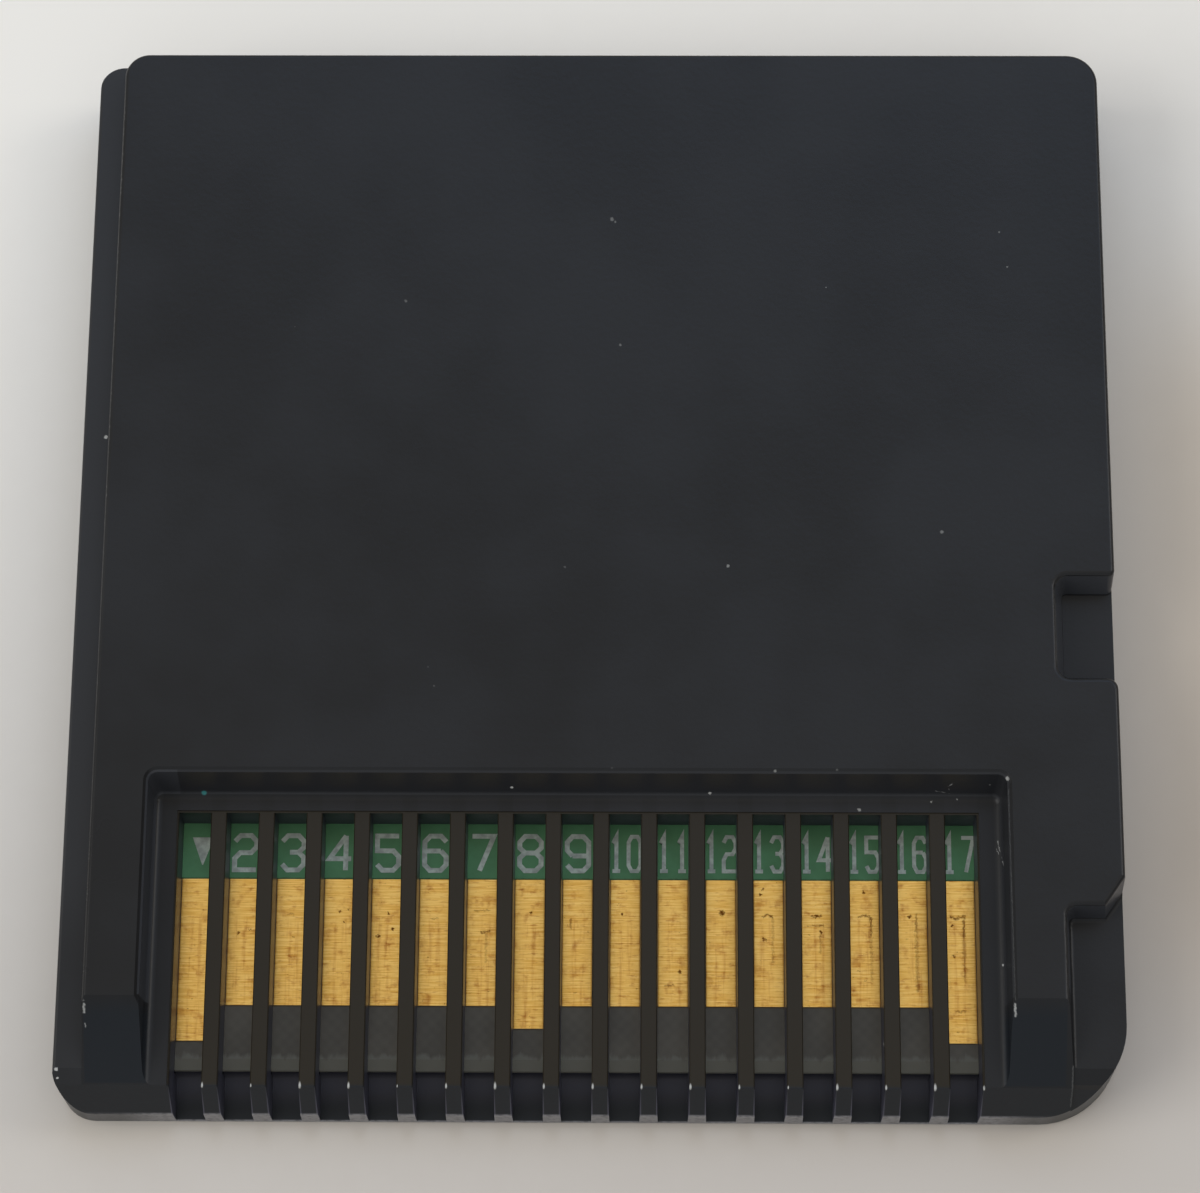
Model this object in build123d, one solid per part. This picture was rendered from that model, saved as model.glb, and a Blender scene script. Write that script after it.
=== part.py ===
from build123d import *
import math
import os

# A closed memory card for a hand-held console: two moulded half shells around a circuit board.
# Frame in millimetres: X across the card, Y along it with the contact edge at -Y, Z up.
# The card lies on its label side (Z = 0) with the contacts facing up.
# The origin is the middle of the label side.

# Whole card
CARD_WIDTH = 33.0
CARD_LENGTH = 35.0
CARD_THICKNESS = 3.8
UPPER_EDGE_RADIUS = 0.15
LOWER_EDGE_RADIUS = 0.12

# Corners in plan, seen from the contact side with the contact edge towards the viewer
TOP_LEFT_RADIUS = 0.8
TOP_RIGHT_RADIUS = 1.0
FRONT_LEFT_RADIUS = 1.1
FRONT_RIGHT_RADIUS = 2.6

# Nose: the two slopes that lead the card into its socket
NOSE_LENGTH = 3.15
NOSE_TIP_LENGTH = 0.65
FRONT_FACE_HEIGHT = 1.15

# Steps in the contact side
STEP_DEPTH = 1.1
STEP_DRAFT = 9.0
LEDGE_WIDTH = 0.95
LEDGE_EDGE_RADIUS = 0.12
NOTCH_DEPTH = 1.92
NOTCH_DRAFT = 17.0
NOTCH_LENGTH = 3.45
NOTCH_TO_FRONT = 13.4
NOTCH_CORNER_RADIUS = 0.45
NOTCH_FRONT_MOUTH_RADIUS = 0.35
NOTCH_BACK_MOUTH_RADIUS = 0.2
CORNER_LEDGE_WIDTH = 1.85
CORNER_LEDGE_LENGTH = 6.1
CORNER_CHAMFER_WIDTH = 0.65
CORNER_CHAMFER_LENGTH = 0.95
CORNER_SETBACK = 0.1
CORNER_INNER_RADIUS = 0.35
CORNER_FOOT_RADIUS = 0.15

# Contact row
CONTACT_COUNT = 17
CONTACT_WIDTH = 0.93
CONTACT_THICKNESS = 0.05
CONTACT_TOP_TO_FRONT = 7.53
SHORT_CONTACT_LENGTH = 4.06
MIDDLE_CONTACT_LENGTH = 4.78
LONG_CONTACT_LENGTH = 5.2

# Contact window, from the card's two sides; the row of contacts fills it
WINDOW_LEFT_MARGIN = 2.69
WINDOW_RIGHT_MARGIN = 3.55
RECESS_DEPTH = 1.35
RECESS_SIDE_RUN = 0.1
RECESS_TOP_RUN = 0.4
RECESS_MARGIN = 0.88
RECESS_TO_FRONT = 10.34
RECESS_CORNER_RADIUS = 0.3
RECESS_FOOT_RADIUS = 0.28
RECESS_RIM_BEVEL = 0.14
RIM_BEVEL_ANGLE = 45.0
COMB_PAN_DEPTH = 0.05
COMB_PAN_MARGIN = 0.06
SLOT_WIDTH = 1.0
SLOT_DRAFT = 1.0
SLOT_BEVEL = 0.03
SLOT_TOP_TO_FRONT = 9.34

# Shell walls and the joint between the halves
WALL = 0.85
TOP_WALL = 1.2
ROOF = 0.8
FLOOR = 0.5
FRONT_WALL = 1.3
LIP_HEIGHT = 0.24
RIM_HEIGHT = 1.7
TONGUE_WIDTH = 0.35
TONGUE_HEIGHT = 0.4
JOINT_GROOVE_DEPTH = 0.05
JOINT_GROOVE_HEIGHT = 0.06
FIT_GAP = 0.05
LABEL_RECESS_DEPTH = 0.1
LABEL_MARGIN = 2.0
LABEL_FRONT_MARGIN = 5.0
LABEL_CORNER_RADIUS = 1.0

# Locating posts on the front shell, through the board and into bosses on the back shell
POST_RADIUS = 0.7
POST_INSET = 2.2
BOSS_WALL = 0.65

# Board and its coat
BOARD_THICKNESS = 0.6
BOARD_GAP = 0.1
BOARD_FRONT_GAP = 0.15
BOARD_BEVEL_LENGTH = 0.32
BOARD_BEVEL_HEIGHT = 0.2
MASK_THICKNESS = 0.03
MASK_INSET = 0.2

# Parts on the board, in standard package sizes
MEMORY_BODY = (18.4, 10.2, 1.0)
MEMORY_LEADS_PER_SIDE = 22
MEMORY_LEAD_PITCH = 0.8
MEMORY_LEAD_WIDTH = 0.35
MEMORY_X = 0.0
SAVE_BODY = (4.9, 3.9, 1.3)
SAVE_LEADS_PER_SIDE = 4
SAVE_LEAD_PITCH = 1.27
SAVE_LEAD_WIDTH = 0.42
SAVE_X = 5.2
LEAD_THICKNESS = 0.15
LEAD_FOOT = 0.5
LEAD_REACH = 0.95
CHIP_STANDOFF = 0.1
CHIP_BEVEL = 0.1
DIMPLE_RADIUS = 0.3
DIMPLE_INSET = 0.75
DIMPLE_DEPTH = 0.08
SMALL_PART = (1.6, 0.8, 0.6)
TERMINAL_LENGTH = 0.35
SMALL_PART_PITCH = 2.0
CAPACITOR_X = -6.6
RESISTOR_X = -2.8

# Heights and edges that follow from the sizes above
HALF_WIDTH = CARD_WIDTH / 2
FRONT = -CARD_LENGTH / 2
BACK = CARD_LENGTH / 2
LEDGE_HEIGHT = CARD_THICKNESS - STEP_DEPTH
RECESS_FLOOR = CARD_THICKNESS - RECESS_DEPTH
RIB_TOP = RECESS_FLOOR - COMB_PAN_DEPTH
ROOF_UNDERSIDE = CARD_THICKNESS - ROOF
INNER_CENTRE = (WINDOW_LEFT_MARGIN - WINDOW_RIGHT_MARGIN) / 2
WINDOW_HALF_WIDTH = (CARD_WIDTH - WINDOW_LEFT_MARGIN - WINDOW_RIGHT_MARGIN) / 2
COMB_HALF_WIDTH = WINDOW_HALF_WIDTH - RECESS_MARGIN
CONTACT_PITCH = (2 * COMB_HALF_WIDTH - SLOT_WIDTH) / (CONTACT_COUNT - 1)
MIDDLE_CONTACT = (CONTACT_COUNT - 1) // 2
INNER_RIGHT = HALF_WIDTH - NOTCH_DEPTH - WALL
INNER_LEFT = 2 * INNER_CENTRE - INNER_RIGHT
INNER_BACK = BACK - TOP_WALL
INNER_WIDTH = INNER_RIGHT - INNER_LEFT
WALL_FRONT = FRONT + FRONT_WALL
BOARD_TOP = FLOOR + BOARD_THICKNESS
MASK_TOP = BOARD_TOP + MASK_THICKNESS
RIB_FOOT = MASK_TOP + FIT_GAP / 2
BOARD_FRONT = WALL_FRONT + BOARD_FRONT_GAP
BOARD_BACK = INNER_BACK - BOARD_GAP
BOARD_WIDTH = INNER_WIDTH - 2 * BOARD_GAP
BLOCK_BACK = FRONT + RECESS_TO_FRONT + WALL
SLOT_TOP = FRONT + SLOT_TOP_TO_FRONT
CONTACT_TOP = FRONT + CONTACT_TOP_TO_FRONT
POST_Y = INNER_BACK - POST_INSET
POST_X = (INNER_LEFT + POST_INSET, INNER_RIGHT - POST_INSET)
POST_TOP = ROOF_UNDERSIDE - FIT_GAP
MARGIN = 2.0

# The room that the chips leave between the contact window and the back wall is shared equally
# in front of, between and behind them. The small parts stand in two rows beside the second chip.
MEMORY_DEPTH = MEMORY_BODY[1] + 2 * LEAD_REACH
SAVE_DEPTH = SAVE_BODY[1] + 2 * LEAD_REACH
CHIP_CLEARANCE = (INNER_BACK - BLOCK_BACK - MEMORY_DEPTH - SAVE_DEPTH) / 3
MEMORY_CENTRE = (MEMORY_X, BLOCK_BACK + CHIP_CLEARANCE + MEMORY_DEPTH / 2)
SAVE_CENTRE = (SAVE_X, INNER_BACK - CHIP_CLEARANCE - SAVE_DEPTH / 2)
SMALL_PART_ROWS = (SAVE_CENTRE[1] + SMALL_PART_PITCH / 2, SAVE_CENTRE[1] - SMALL_PART_PITCH / 2)
CAPACITOR_PLACES = [(CAPACITOR_X, y) for y in SMALL_PART_ROWS]
RESISTOR_PLACES = [(RESISTOR_X, y) for y in SMALL_PART_ROWS]


def box_between(low, high):
    """A box from its low corner to its high corner."""
    size = [b - a for a, b in zip(low, high)]
    middle = [(a + b) / 2 for a, b in zip(low, high)]
    return Pos(*middle) * Box(*size)


def plan_face(points, height):
    """A flat face at one height, from its corner points in plan."""
    return Pos(0, 0, height) * make_face(Polyline(*points, close=True))


def side_solid(points):
    """A solid with the given (Y, Z) outline that runs right across the card."""
    outline = [(0, y, z) for y, z in points]
    face = make_face(Polyline(*outline, close=True))
    return extrude(face, HALF_WIDTH + MARGIN, dir=(1, 0, 0), both=True)


def rounded(face, corners):
    """The face with the corners nearest to the given points rounded in plan."""
    for point, radius in corners:
        nearest = face.vertices().sort_by_distance(point)[0]
        face = fillet(nearest, radius)
    return face


def card_outline(left, height):
    """The card's outline at one height, from the given left edge, with its four corners."""
    right = HALF_WIDTH
    face = plan_face([(left, FRONT), (right, FRONT), (right, BACK), (left, BACK)], height)
    return rounded(face, [
        ((left, FRONT, height), FRONT_LEFT_RADIUS),
        ((right, FRONT, height), FRONT_RIGHT_RADIUS),
        ((right, BACK, height), TOP_RIGHT_RADIUS),
        ((left, BACK, height), TOP_LEFT_RADIUS),
    ])


def nose_points(setback):
    """The side outline of the card, with the nose moved back by a little."""
    front = FRONT + setback
    return [
        (front, -MARGIN),
        (BACK + MARGIN, -MARGIN),
        (BACK + MARGIN, CARD_THICKNESS),
        (front + NOSE_LENGTH, CARD_THICKNESS),
        (front + NOSE_TIP_LENGTH, RECESS_FLOOR),
        (front, FRONT_FACE_HEIGHT),
    ]


def step_cutter(points, corners, draft):
    """A cutter from the contact side down to the ledge height, with leaning walls."""
    face = rounded(plan_face(points, CARD_THICKNESS), corners)
    return extrude(face, STEP_DEPTH, dir=(0, 0, -1), taper=draft)


def notch_cutter():
    """The latch notch in the right side."""
    inner = HALF_WIDTH - NOTCH_DEPTH
    low = FRONT + NOTCH_TO_FRONT
    high = low + NOTCH_LENGTH
    far = HALF_WIDTH + MARGIN
    points = [(inner, low), (far, low), (far, high), (inner, high)]
    corners = [
        ((inner, low, CARD_THICKNESS), NOTCH_CORNER_RADIUS),
        ((inner, high, CARD_THICKNESS), NOTCH_CORNER_RADIUS),
    ]
    return step_cutter(points, corners, NOTCH_DRAFT)


def corner_cutter():
    """The step at the right front corner, with its chamfered upper end and its rounded foot."""
    inner = HALF_WIDTH - CORNER_LEDGE_WIDTH
    high = FRONT + CORNER_LEDGE_LENGTH
    far = HALF_WIDTH + MARGIN
    rise = CORNER_CHAMFER_LENGTH * (CORNER_CHAMFER_WIDTH + MARGIN) / CORNER_CHAMFER_WIDTH
    points = [
        (inner, FRONT - MARGIN),
        (far, FRONT - MARGIN),
        (far, high + rise),
        (HALF_WIDTH - CORNER_CHAMFER_WIDTH, high),
        (inner, high),
    ]
    corners = [((inner, high, CARD_THICKNESS), CORNER_INNER_RADIUS)]
    cutter = step_cutter(points, corners, STEP_DRAFT)
    foot = cutter.faces().sort_by(Axis.Z)[0]
    return fillet(foot.edges(), CORNER_FOOT_RADIUS)


def recess_cutter():
    """The sunk window around the ribs, open towards the contact edge."""
    reach = WINDOW_HALF_WIDTH
    side_slope = RECESS_SIDE_RUN / RECESS_DEPTH
    top = RECESS_DEPTH + MARGIN
    across = [
        (INNER_CENTRE - reach + RECESS_SIDE_RUN, RECESS_FLOOR),
        (INNER_CENTRE + reach - RECESS_SIDE_RUN, RECESS_FLOOR),
        (INNER_CENTRE + reach + side_slope * MARGIN, RECESS_FLOOR + top),
        (INNER_CENTRE - reach - side_slope * MARGIN, RECESS_FLOOR + top),
    ]
    outline = [(x, FRONT - MARGIN, z) for x, z in across]
    face = make_face(Polyline(*outline, close=True))
    trough = extrude(face, CARD_LENGTH, dir=(0, 1, 0))
    high = FRONT + RECESS_TO_FRONT
    top_slope = RECESS_TOP_RUN / RECESS_DEPTH
    end = side_solid([
        (FRONT - MARGIN, RECESS_FLOOR),
        (high - RECESS_TOP_RUN, RECESS_FLOOR),
        (high + top_slope * MARGIN, RECESS_FLOOR + top),
        (FRONT - MARGIN, RECESS_FLOOR + top),
    ])
    cutter = trough & end
    cutter = fillet(cutter.edges().filter_by(rises_at_back), RECESS_CORNER_RADIUS)
    foot = cutter.faces().sort_by(Axis.Z)[0]
    return fillet(foot.edges().filter_by(reaches_back), RECESS_FOOT_RADIUS)


def recess_rim():
    """The bevel round the window's upper edge: it widens the window towards the contact side."""
    reach = WINDOW_HALF_WIDTH + RECESS_RIM_BEVEL * (1 - RECESS_SIDE_RUN / RECESS_DEPTH)
    high = FRONT + RECESS_TO_FRONT + RECESS_RIM_BEVEL * (1 - RECESS_TOP_RUN / RECESS_DEPTH)
    left = INNER_CENTRE - reach
    right = INNER_CENTRE + reach
    low = FRONT - MARGIN
    face = rounded(plan_face([(left, low), (right, low), (right, high), (left, high)], CARD_THICKNESS), [
        ((left, high, CARD_THICKNESS), RECESS_CORNER_RADIUS + RECESS_RIM_BEVEL),
        ((right, high, CARD_THICKNESS), RECESS_CORNER_RADIUS + RECESS_RIM_BEVEL),
    ])
    return extrude(face, RECESS_RIM_BEVEL, dir=(0, 0, -1), taper=RIM_BEVEL_ANGLE)


def rises_at_back(edge):
    """True for a standing edge at the upper end of the window."""
    box = edge.bounding_box()
    return box.size.Z > RECESS_DEPTH and box.min.Y > FRONT


def reaches_back(edge):
    """True for an edge of the window's floor, apart from its open end."""
    return edge.bounding_box().max.Y > FRONT


def comb_pan():
    """The shallow pan in the window's floor that the ribs and slots lie in."""
    reach = COMB_HALF_WIDTH + COMB_PAN_MARGIN
    return box_between(
        (INNER_CENTRE - reach, FRONT - MARGIN, RIB_TOP),
        (INNER_CENTRE + reach, SLOT_TOP + COMB_PAN_MARGIN, CARD_THICKNESS),
    )


def upper_face(body):
    """The flat contact-side face."""
    return body.faces().filter_by(Plane.XY).sort_by(Axis.Z)[-1]


def notch_mouth(body, y):
    """The standing outer edge at one end of the notch."""
    def stands_there(edge):
        box = edge.bounding_box()
        stands = box.min.Z > LEDGE_HEIGHT - UPPER_EDGE_RADIUS and box.size.Z > STEP_DEPTH / 2
        outside = box.min.X > HALF_WIDTH - UPPER_EDGE_RADIUS
        return stands and outside and abs(box.center().Y - y) < STEP_DEPTH / 2
    return body.edges().filter_by(stands_there)


def ledge_edge_cutter():
    """What rounds the long outer edge of the left ledge, along the whole card."""
    side = -HALF_WIDTH
    low = LEDGE_HEIGHT - LEDGE_EDGE_RADIUS
    start = (side, FRONT - MARGIN, low)
    end = (side + LEDGE_EDGE_RADIUS, FRONT - MARGIN, LEDGE_HEIGHT)
    bulge = LEDGE_EDGE_RADIUS * (1 - math.sqrt(0.5))
    middle = (side + bulge, FRONT - MARGIN, LEDGE_HEIGHT - bulge)
    outer = Polyline(
        end,
        (end[0], FRONT - MARGIN, CARD_THICKNESS),
        (side - MARGIN, FRONT - MARGIN, CARD_THICKNESS),
        (side - MARGIN, FRONT - MARGIN, low),
        start,
    )
    face = make_face([ThreePointArc(start, middle, end), outer])
    return extrude(face, CARD_LENGTH + 2 * MARGIN, dir=(0, 1, 0))


def corner_zone():
    """The space over the right front corner ledge, where the nose sits a little back."""
    foot = HALF_WIDTH - CORNER_LEDGE_WIDTH
    foot += STEP_DEPTH * math.tan(math.radians(STEP_DRAFT))
    return box_between(
        (foot, FRONT - MARGIN, -MARGIN),
        (HALF_WIDTH + MARGIN, FRONT + NOSE_LENGTH + 2 * CORNER_SETBACK,
         CARD_THICKNESS + MARGIN),
    )


def card_body():
    """The outer form of the closed card, solid right through."""
    body = extrude(card_outline(-HALF_WIDTH, 0), LEDGE_HEIGHT)
    body = body + extrude(card_outline(LEDGE_WIDTH - HALF_WIDTH, LEDGE_HEIGHT), STEP_DEPTH)
    body = body - notch_cutter() - corner_cutter()
    notch_front = FRONT + NOTCH_TO_FRONT
    body = fillet(notch_mouth(body, notch_front), NOTCH_FRONT_MOUTH_RADIUS)
    body = fillet(notch_mouth(body, notch_front + NOTCH_LENGTH), NOTCH_BACK_MOUTH_RADIUS)
    body = fillet(upper_face(body).edges(), UPPER_EDGE_RADIUS)
    body = body - ledge_edge_cutter()
    lower = body.faces().filter_by(Plane.XY).sort_by(Axis.Z)[0]
    body = fillet(lower.edges(), LOWER_EDGE_RADIUS)
    body = body - recess_cutter() - recess_rim() - comb_pan()
    body = body & side_solid(nose_points(0))
    return body - (corner_zone() - side_solid(nose_points(CORNER_SETBACK)))


def front_side_of_joint():
    """Everything on the label side of the joint between the two halves."""
    return side_solid([
        (FRONT - MARGIN, -MARGIN),
        (BACK + MARGIN, -MARGIN),
        (BACK + MARGIN, RIM_HEIGHT),
        (WALL_FRONT, RIM_HEIGHT),
        (WALL_FRONT, FLOOR),
        (FRONT, LIP_HEIGHT),
        (FRONT - MARGIN, LIP_HEIGHT),
    ])


def rim_ring(inset, low, high):
    """A band round three inner sides of the walls, open at the contact edge."""
    outer = box_between(
        (INNER_LEFT - inset, WALL_FRONT + TONGUE_WIDTH, low),
        (INNER_RIGHT + inset, INNER_BACK + inset, high),
    )
    inner = box_between(
        (INNER_LEFT, WALL_FRONT, low),
        (INNER_RIGHT, INNER_BACK, high),
    )
    return outer - inner


def joint_groove():
    """The fine shadow line round three sides, where the back shell meets the front shell."""
    outline = card_outline(-HALF_WIDTH, RIM_HEIGHT)
    band = extrude(offset(outline, MARGIN) - offset(outline, -JOINT_GROOVE_DEPTH), JOINT_GROOVE_HEIGHT)
    return band - box_between(
        (-CARD_WIDTH, FRONT - 2 * MARGIN, 0), (CARD_WIDTH, WALL_FRONT, CARD_THICKNESS))


def label_recess():
    """The shallow bare place for a label on the underside."""
    width = CARD_WIDTH - 2 * LABEL_MARGIN
    length = CARD_LENGTH - LABEL_MARGIN - LABEL_FRONT_MARGIN
    middle = (FRONT + LABEL_FRONT_MARGIN + BACK - LABEL_MARGIN) / 2
    face = Pos(0, middle, 0) * RectangleRounded(width, length, LABEL_CORNER_RADIUS)
    return extrude(face, LABEL_RECESS_DEPTH)


def front_shell(body):
    """The label-side half: a shallow tray with posts and a tongue on its rim."""
    tray = body & front_side_of_joint()
    tray = tray - box_between(
        (INNER_LEFT, WALL_FRONT, FLOOR),
        (INNER_RIGHT, INNER_BACK, CARD_THICKNESS),
    )
    tray = tray + rim_ring(TONGUE_WIDTH, RIM_HEIGHT, RIM_HEIGHT + TONGUE_HEIGHT)
    tray = tray - label_recess()
    for x in POST_X:
        post = Pos(x, POST_Y, FLOOR) * Cylinder(
            POST_RADIUS, POST_TOP - FLOOR, align=(Align.CENTER, Align.CENTER, Align.MIN)
        )
        tray = tray + post
    return tray


def slot_centres():
    """The X of every contact, from left to right."""
    first = INNER_CENTRE - (CONTACT_COUNT - 1) * CONTACT_PITCH / 2
    return [first + number * CONTACT_PITCH for number in range(CONTACT_COUNT)]


def slot_cutter(x):
    """One slot between two ribs: its walls lean a little and its upper edges are bevelled."""
    half = SLOT_WIDTH / 2
    low = half - (RIB_TOP + MARGIN) * math.tan(math.radians(SLOT_DRAFT))
    points = [
        (x - low, -MARGIN),
        (x + low, -MARGIN),
        (x + half, RIB_TOP - SLOT_BEVEL),
        (x + half + 2 * SLOT_BEVEL, RIB_TOP + SLOT_BEVEL),
        (x - half - 2 * SLOT_BEVEL, RIB_TOP + SLOT_BEVEL),
        (x - half, RIB_TOP - SLOT_BEVEL),
    ]
    outline = [(px, FRONT - MARGIN, pz) for px, pz in points]
    face = make_face(Polyline(*outline, close=True))
    return extrude(face, SLOT_TOP - FRONT + MARGIN, dir=(0, 1, 0))


def back_shell(body):
    """The contact-side half: roof, walls, bosses and the comb of ribs over the board."""
    shell = body - front_side_of_joint()
    shell = shell - box_between(
        (INNER_LEFT, BLOCK_BACK, 0),
        (INNER_RIGHT, INNER_BACK, ROOF_UNDERSIDE),
    )
    groove = TONGUE_WIDTH + FIT_GAP
    shell = shell - rim_ring(groove, RIM_HEIGHT, RIM_HEIGHT + TONGUE_HEIGHT + FIT_GAP)
    shell = shell - box_between(
        (INNER_LEFT - groove, WALL_FRONT + TONGUE_WIDTH - FIT_GAP, RIM_HEIGHT),
        (INNER_RIGHT + groove, BLOCK_BACK, RIM_HEIGHT + TONGUE_HEIGHT + FIT_GAP),
    )
    shell = shell + box_between(
        (INNER_LEFT + FIT_GAP, WALL_FRONT, RIB_FOOT),
        (INNER_RIGHT - FIT_GAP, BLOCK_BACK, RIM_HEIGHT + TONGUE_HEIGHT + FIT_GAP),
    )
    shell = shell - joint_groove()
    bore = POST_RADIUS + FIT_GAP
    for x in POST_X:
        at = Pos(x, POST_Y, RIB_FOOT)
        height = ROOF_UNDERSIDE - RIB_FOOT
        standing = (Align.CENTER, Align.CENTER, Align.MIN)
        shell = shell + at * Cylinder(bore + BOSS_WALL, height, align=standing)
        shell = shell - at * Cylinder(bore, height, align=standing)
    for x in slot_centres():
        shell = shell - slot_cutter(x)
    return shell


def post_holes(radius, low, high):
    """Cylinders round both post places, for cutting."""
    holes = []
    for x in POST_X:
        at = Pos(x, POST_Y, (low + high) / 2)
        holes.append(at * Cylinder(radius, high - low))
    return holes


def circuit_board():
    """The bare laminate, bevelled at the contact edge on both faces."""
    middle = (FLOOR + BOARD_TOP) / 2
    nose = BOARD_THICKNESS / 2 - BOARD_BEVEL_HEIGHT
    outline = side_solid([
        (BOARD_FRONT, middle - nose),
        (BOARD_FRONT + BOARD_BEVEL_LENGTH, FLOOR),
        (BOARD_BACK, FLOOR),
        (BOARD_BACK, BOARD_TOP),
        (BOARD_FRONT + BOARD_BEVEL_LENGTH, BOARD_TOP),
        (BOARD_FRONT, middle + nose),
    ])
    board = outline & box_between(
        (INNER_CENTRE - BOARD_WIDTH / 2, FRONT, 0),
        (INNER_CENTRE + BOARD_WIDTH / 2, BACK, CARD_THICKNESS),
    )
    for hole in post_holes(POST_RADIUS + FIT_GAP, 0, CARD_THICKNESS):
        board = board - hole
    return board


def solder_mask():
    """The green lacquer on the upper face, down to the tops of the contacts."""
    reach = BOARD_WIDTH / 2 - MASK_INSET
    mask = box_between(
        (INNER_CENTRE - reach, CONTACT_TOP, BOARD_TOP),
        (INNER_CENTRE + reach, BOARD_BACK - MASK_INSET, MASK_TOP),
    )
    for hole in post_holes(POST_RADIUS + FIT_GAP + MASK_INSET, 0, CARD_THICKNESS):
        mask = mask - hole
    return mask


def contact_length(number):
    """The outer contacts are the longest, one in the middle is a little longer."""
    if number in (1, CONTACT_COUNT):
        return LONG_CONTACT_LENGTH
    if number == MIDDLE_CONTACT:
        return MIDDLE_CONTACT_LENGTH
    return SHORT_CONTACT_LENGTH


def contact(number, x):
    """One gold-plated contact, lying on the board."""
    return box_between(
        (x - CONTACT_WIDTH / 2, CONTACT_TOP - contact_length(number), BOARD_TOP),
        (x + CONTACT_WIDTH / 2, CONTACT_TOP, BOARD_TOP + CONTACT_THICKNESS),
    )


def chip_place(centre):
    """A place on the coated board, given from the middle of the board's width."""
    return Pos(INNER_CENTRE + centre[0], centre[1], MASK_TOP)


def chip_body(size, centre):
    """The moulded body of a chip, with a pin-one dimple and a bevelled upper edge."""
    length, width, height = size
    body = Pos(0, 0, CHIP_STANDOFF + height / 2) * Box(length, width, height)
    upper = body.faces().sort_by(Axis.Z)[-1]
    body = chamfer(upper.edges(), CHIP_BEVEL)
    at = Pos(DIMPLE_INSET - length / 2, DIMPLE_INSET - width / 2, CHIP_STANDOFF + height)
    dimple = at * Cylinder(DIMPLE_RADIUS, 2 * DIMPLE_DEPTH)
    return chip_place(centre) * (body - dimple)


def gull_lead(body_width, height, width):
    """One bent lead that leaves the chip's side and lies on the board."""
    start = body_width / 2
    mid = CHIP_STANDOFF + height / 2
    turn = start + LEAD_REACH - LEAD_FOOT
    end = start + LEAD_REACH
    points = [
        (start, mid),
        (turn - LEAD_THICKNESS, mid),
        (turn - LEAD_THICKNESS, 0),
        (end, 0),
        (end, LEAD_THICKNESS),
        (turn, LEAD_THICKNESS),
        (turn, mid + LEAD_THICKNESS),
        (start, mid + LEAD_THICKNESS),
    ]
    outline = [(0, y, z) for y, z in points]
    face = make_face(Polyline(*outline, close=True))
    return extrude(face, width / 2, dir=(1, 0, 0), both=True)


def chip_leads(size, centre, per_side, pitch, width):
    """All the leads of one chip, on its two long sides."""
    lead = gull_lead(size[1], size[2], width)
    leads = []
    for number in range(per_side):
        x = (number - (per_side - 1) / 2) * pitch
        leads.append(chip_place(centre) * Pos(x, 0, 0) * lead)
        leads.append(chip_place(centre) * Pos(x, 0, 0) * Rot(0, 0, 180) * lead)
    return Compound(children=[solid for group in leads for solid in group.solids()])


def small_part(centre):
    """The body of a small two-ended part, between its end caps."""
    length, width, height = SMALL_PART
    return chip_place(centre) * Pos(0, 0, height / 2) * Box(
        length - 2 * TERMINAL_LENGTH, width, height
    )


def small_part_terminals():
    """The tinned end caps of all the small parts."""
    length, width, height = SMALL_PART
    caps = []
    for centre in CAPACITOR_PLACES + RESISTOR_PLACES:
        for side in (-1, 1):
            offset = side * (length - TERMINAL_LENGTH) / 2
            cap = Pos(offset, 0, height / 2) * Box(TERMINAL_LENGTH, width, height)
            caps.append(chip_place(centre) * cap)
    return Compound(children=[solid for cap in caps for solid in cap.solids()])


def all_parts():
    """Every piece of the card by its name."""
    body = card_body()
    parts = {
        "front_shell": front_shell(body),
        "back_shell": back_shell(body),
        "circuit_board": circuit_board(),
        "solder_mask": solder_mask(),
        "memory_chip": chip_body(MEMORY_BODY, MEMORY_CENTRE),
        "memory_chip_leads": chip_leads(
            MEMORY_BODY, MEMORY_CENTRE, MEMORY_LEADS_PER_SIDE, MEMORY_LEAD_PITCH,
            MEMORY_LEAD_WIDTH,
        ),
        "save_chip": chip_body(SAVE_BODY, SAVE_CENTRE),
        "save_chip_leads": chip_leads(
            SAVE_BODY, SAVE_CENTRE, SAVE_LEADS_PER_SIDE, SAVE_LEAD_PITCH, SAVE_LEAD_WIDTH
        ),
        "chip_part_terminals": small_part_terminals(),
    }
    for number, centre in enumerate(CAPACITOR_PLACES, 1):
        parts[f"capacitor_{number}"] = small_part(centre)
    for number, centre in enumerate(RESISTOR_PLACES, 1):
        parts[f"resistor_{number}"] = small_part(centre)
    for number, x in enumerate(slot_centres(), 1):
        parts[f"contact_{number:02d}"] = contact(number, x)
    return parts


def main():
    os.makedirs("parts", exist_ok=True)
    for name, part in all_parts().items():
        export_step(part, f"parts/{name}.step")


if __name__ == "__main__":
    main()
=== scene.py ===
import math
from functools import partial

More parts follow.
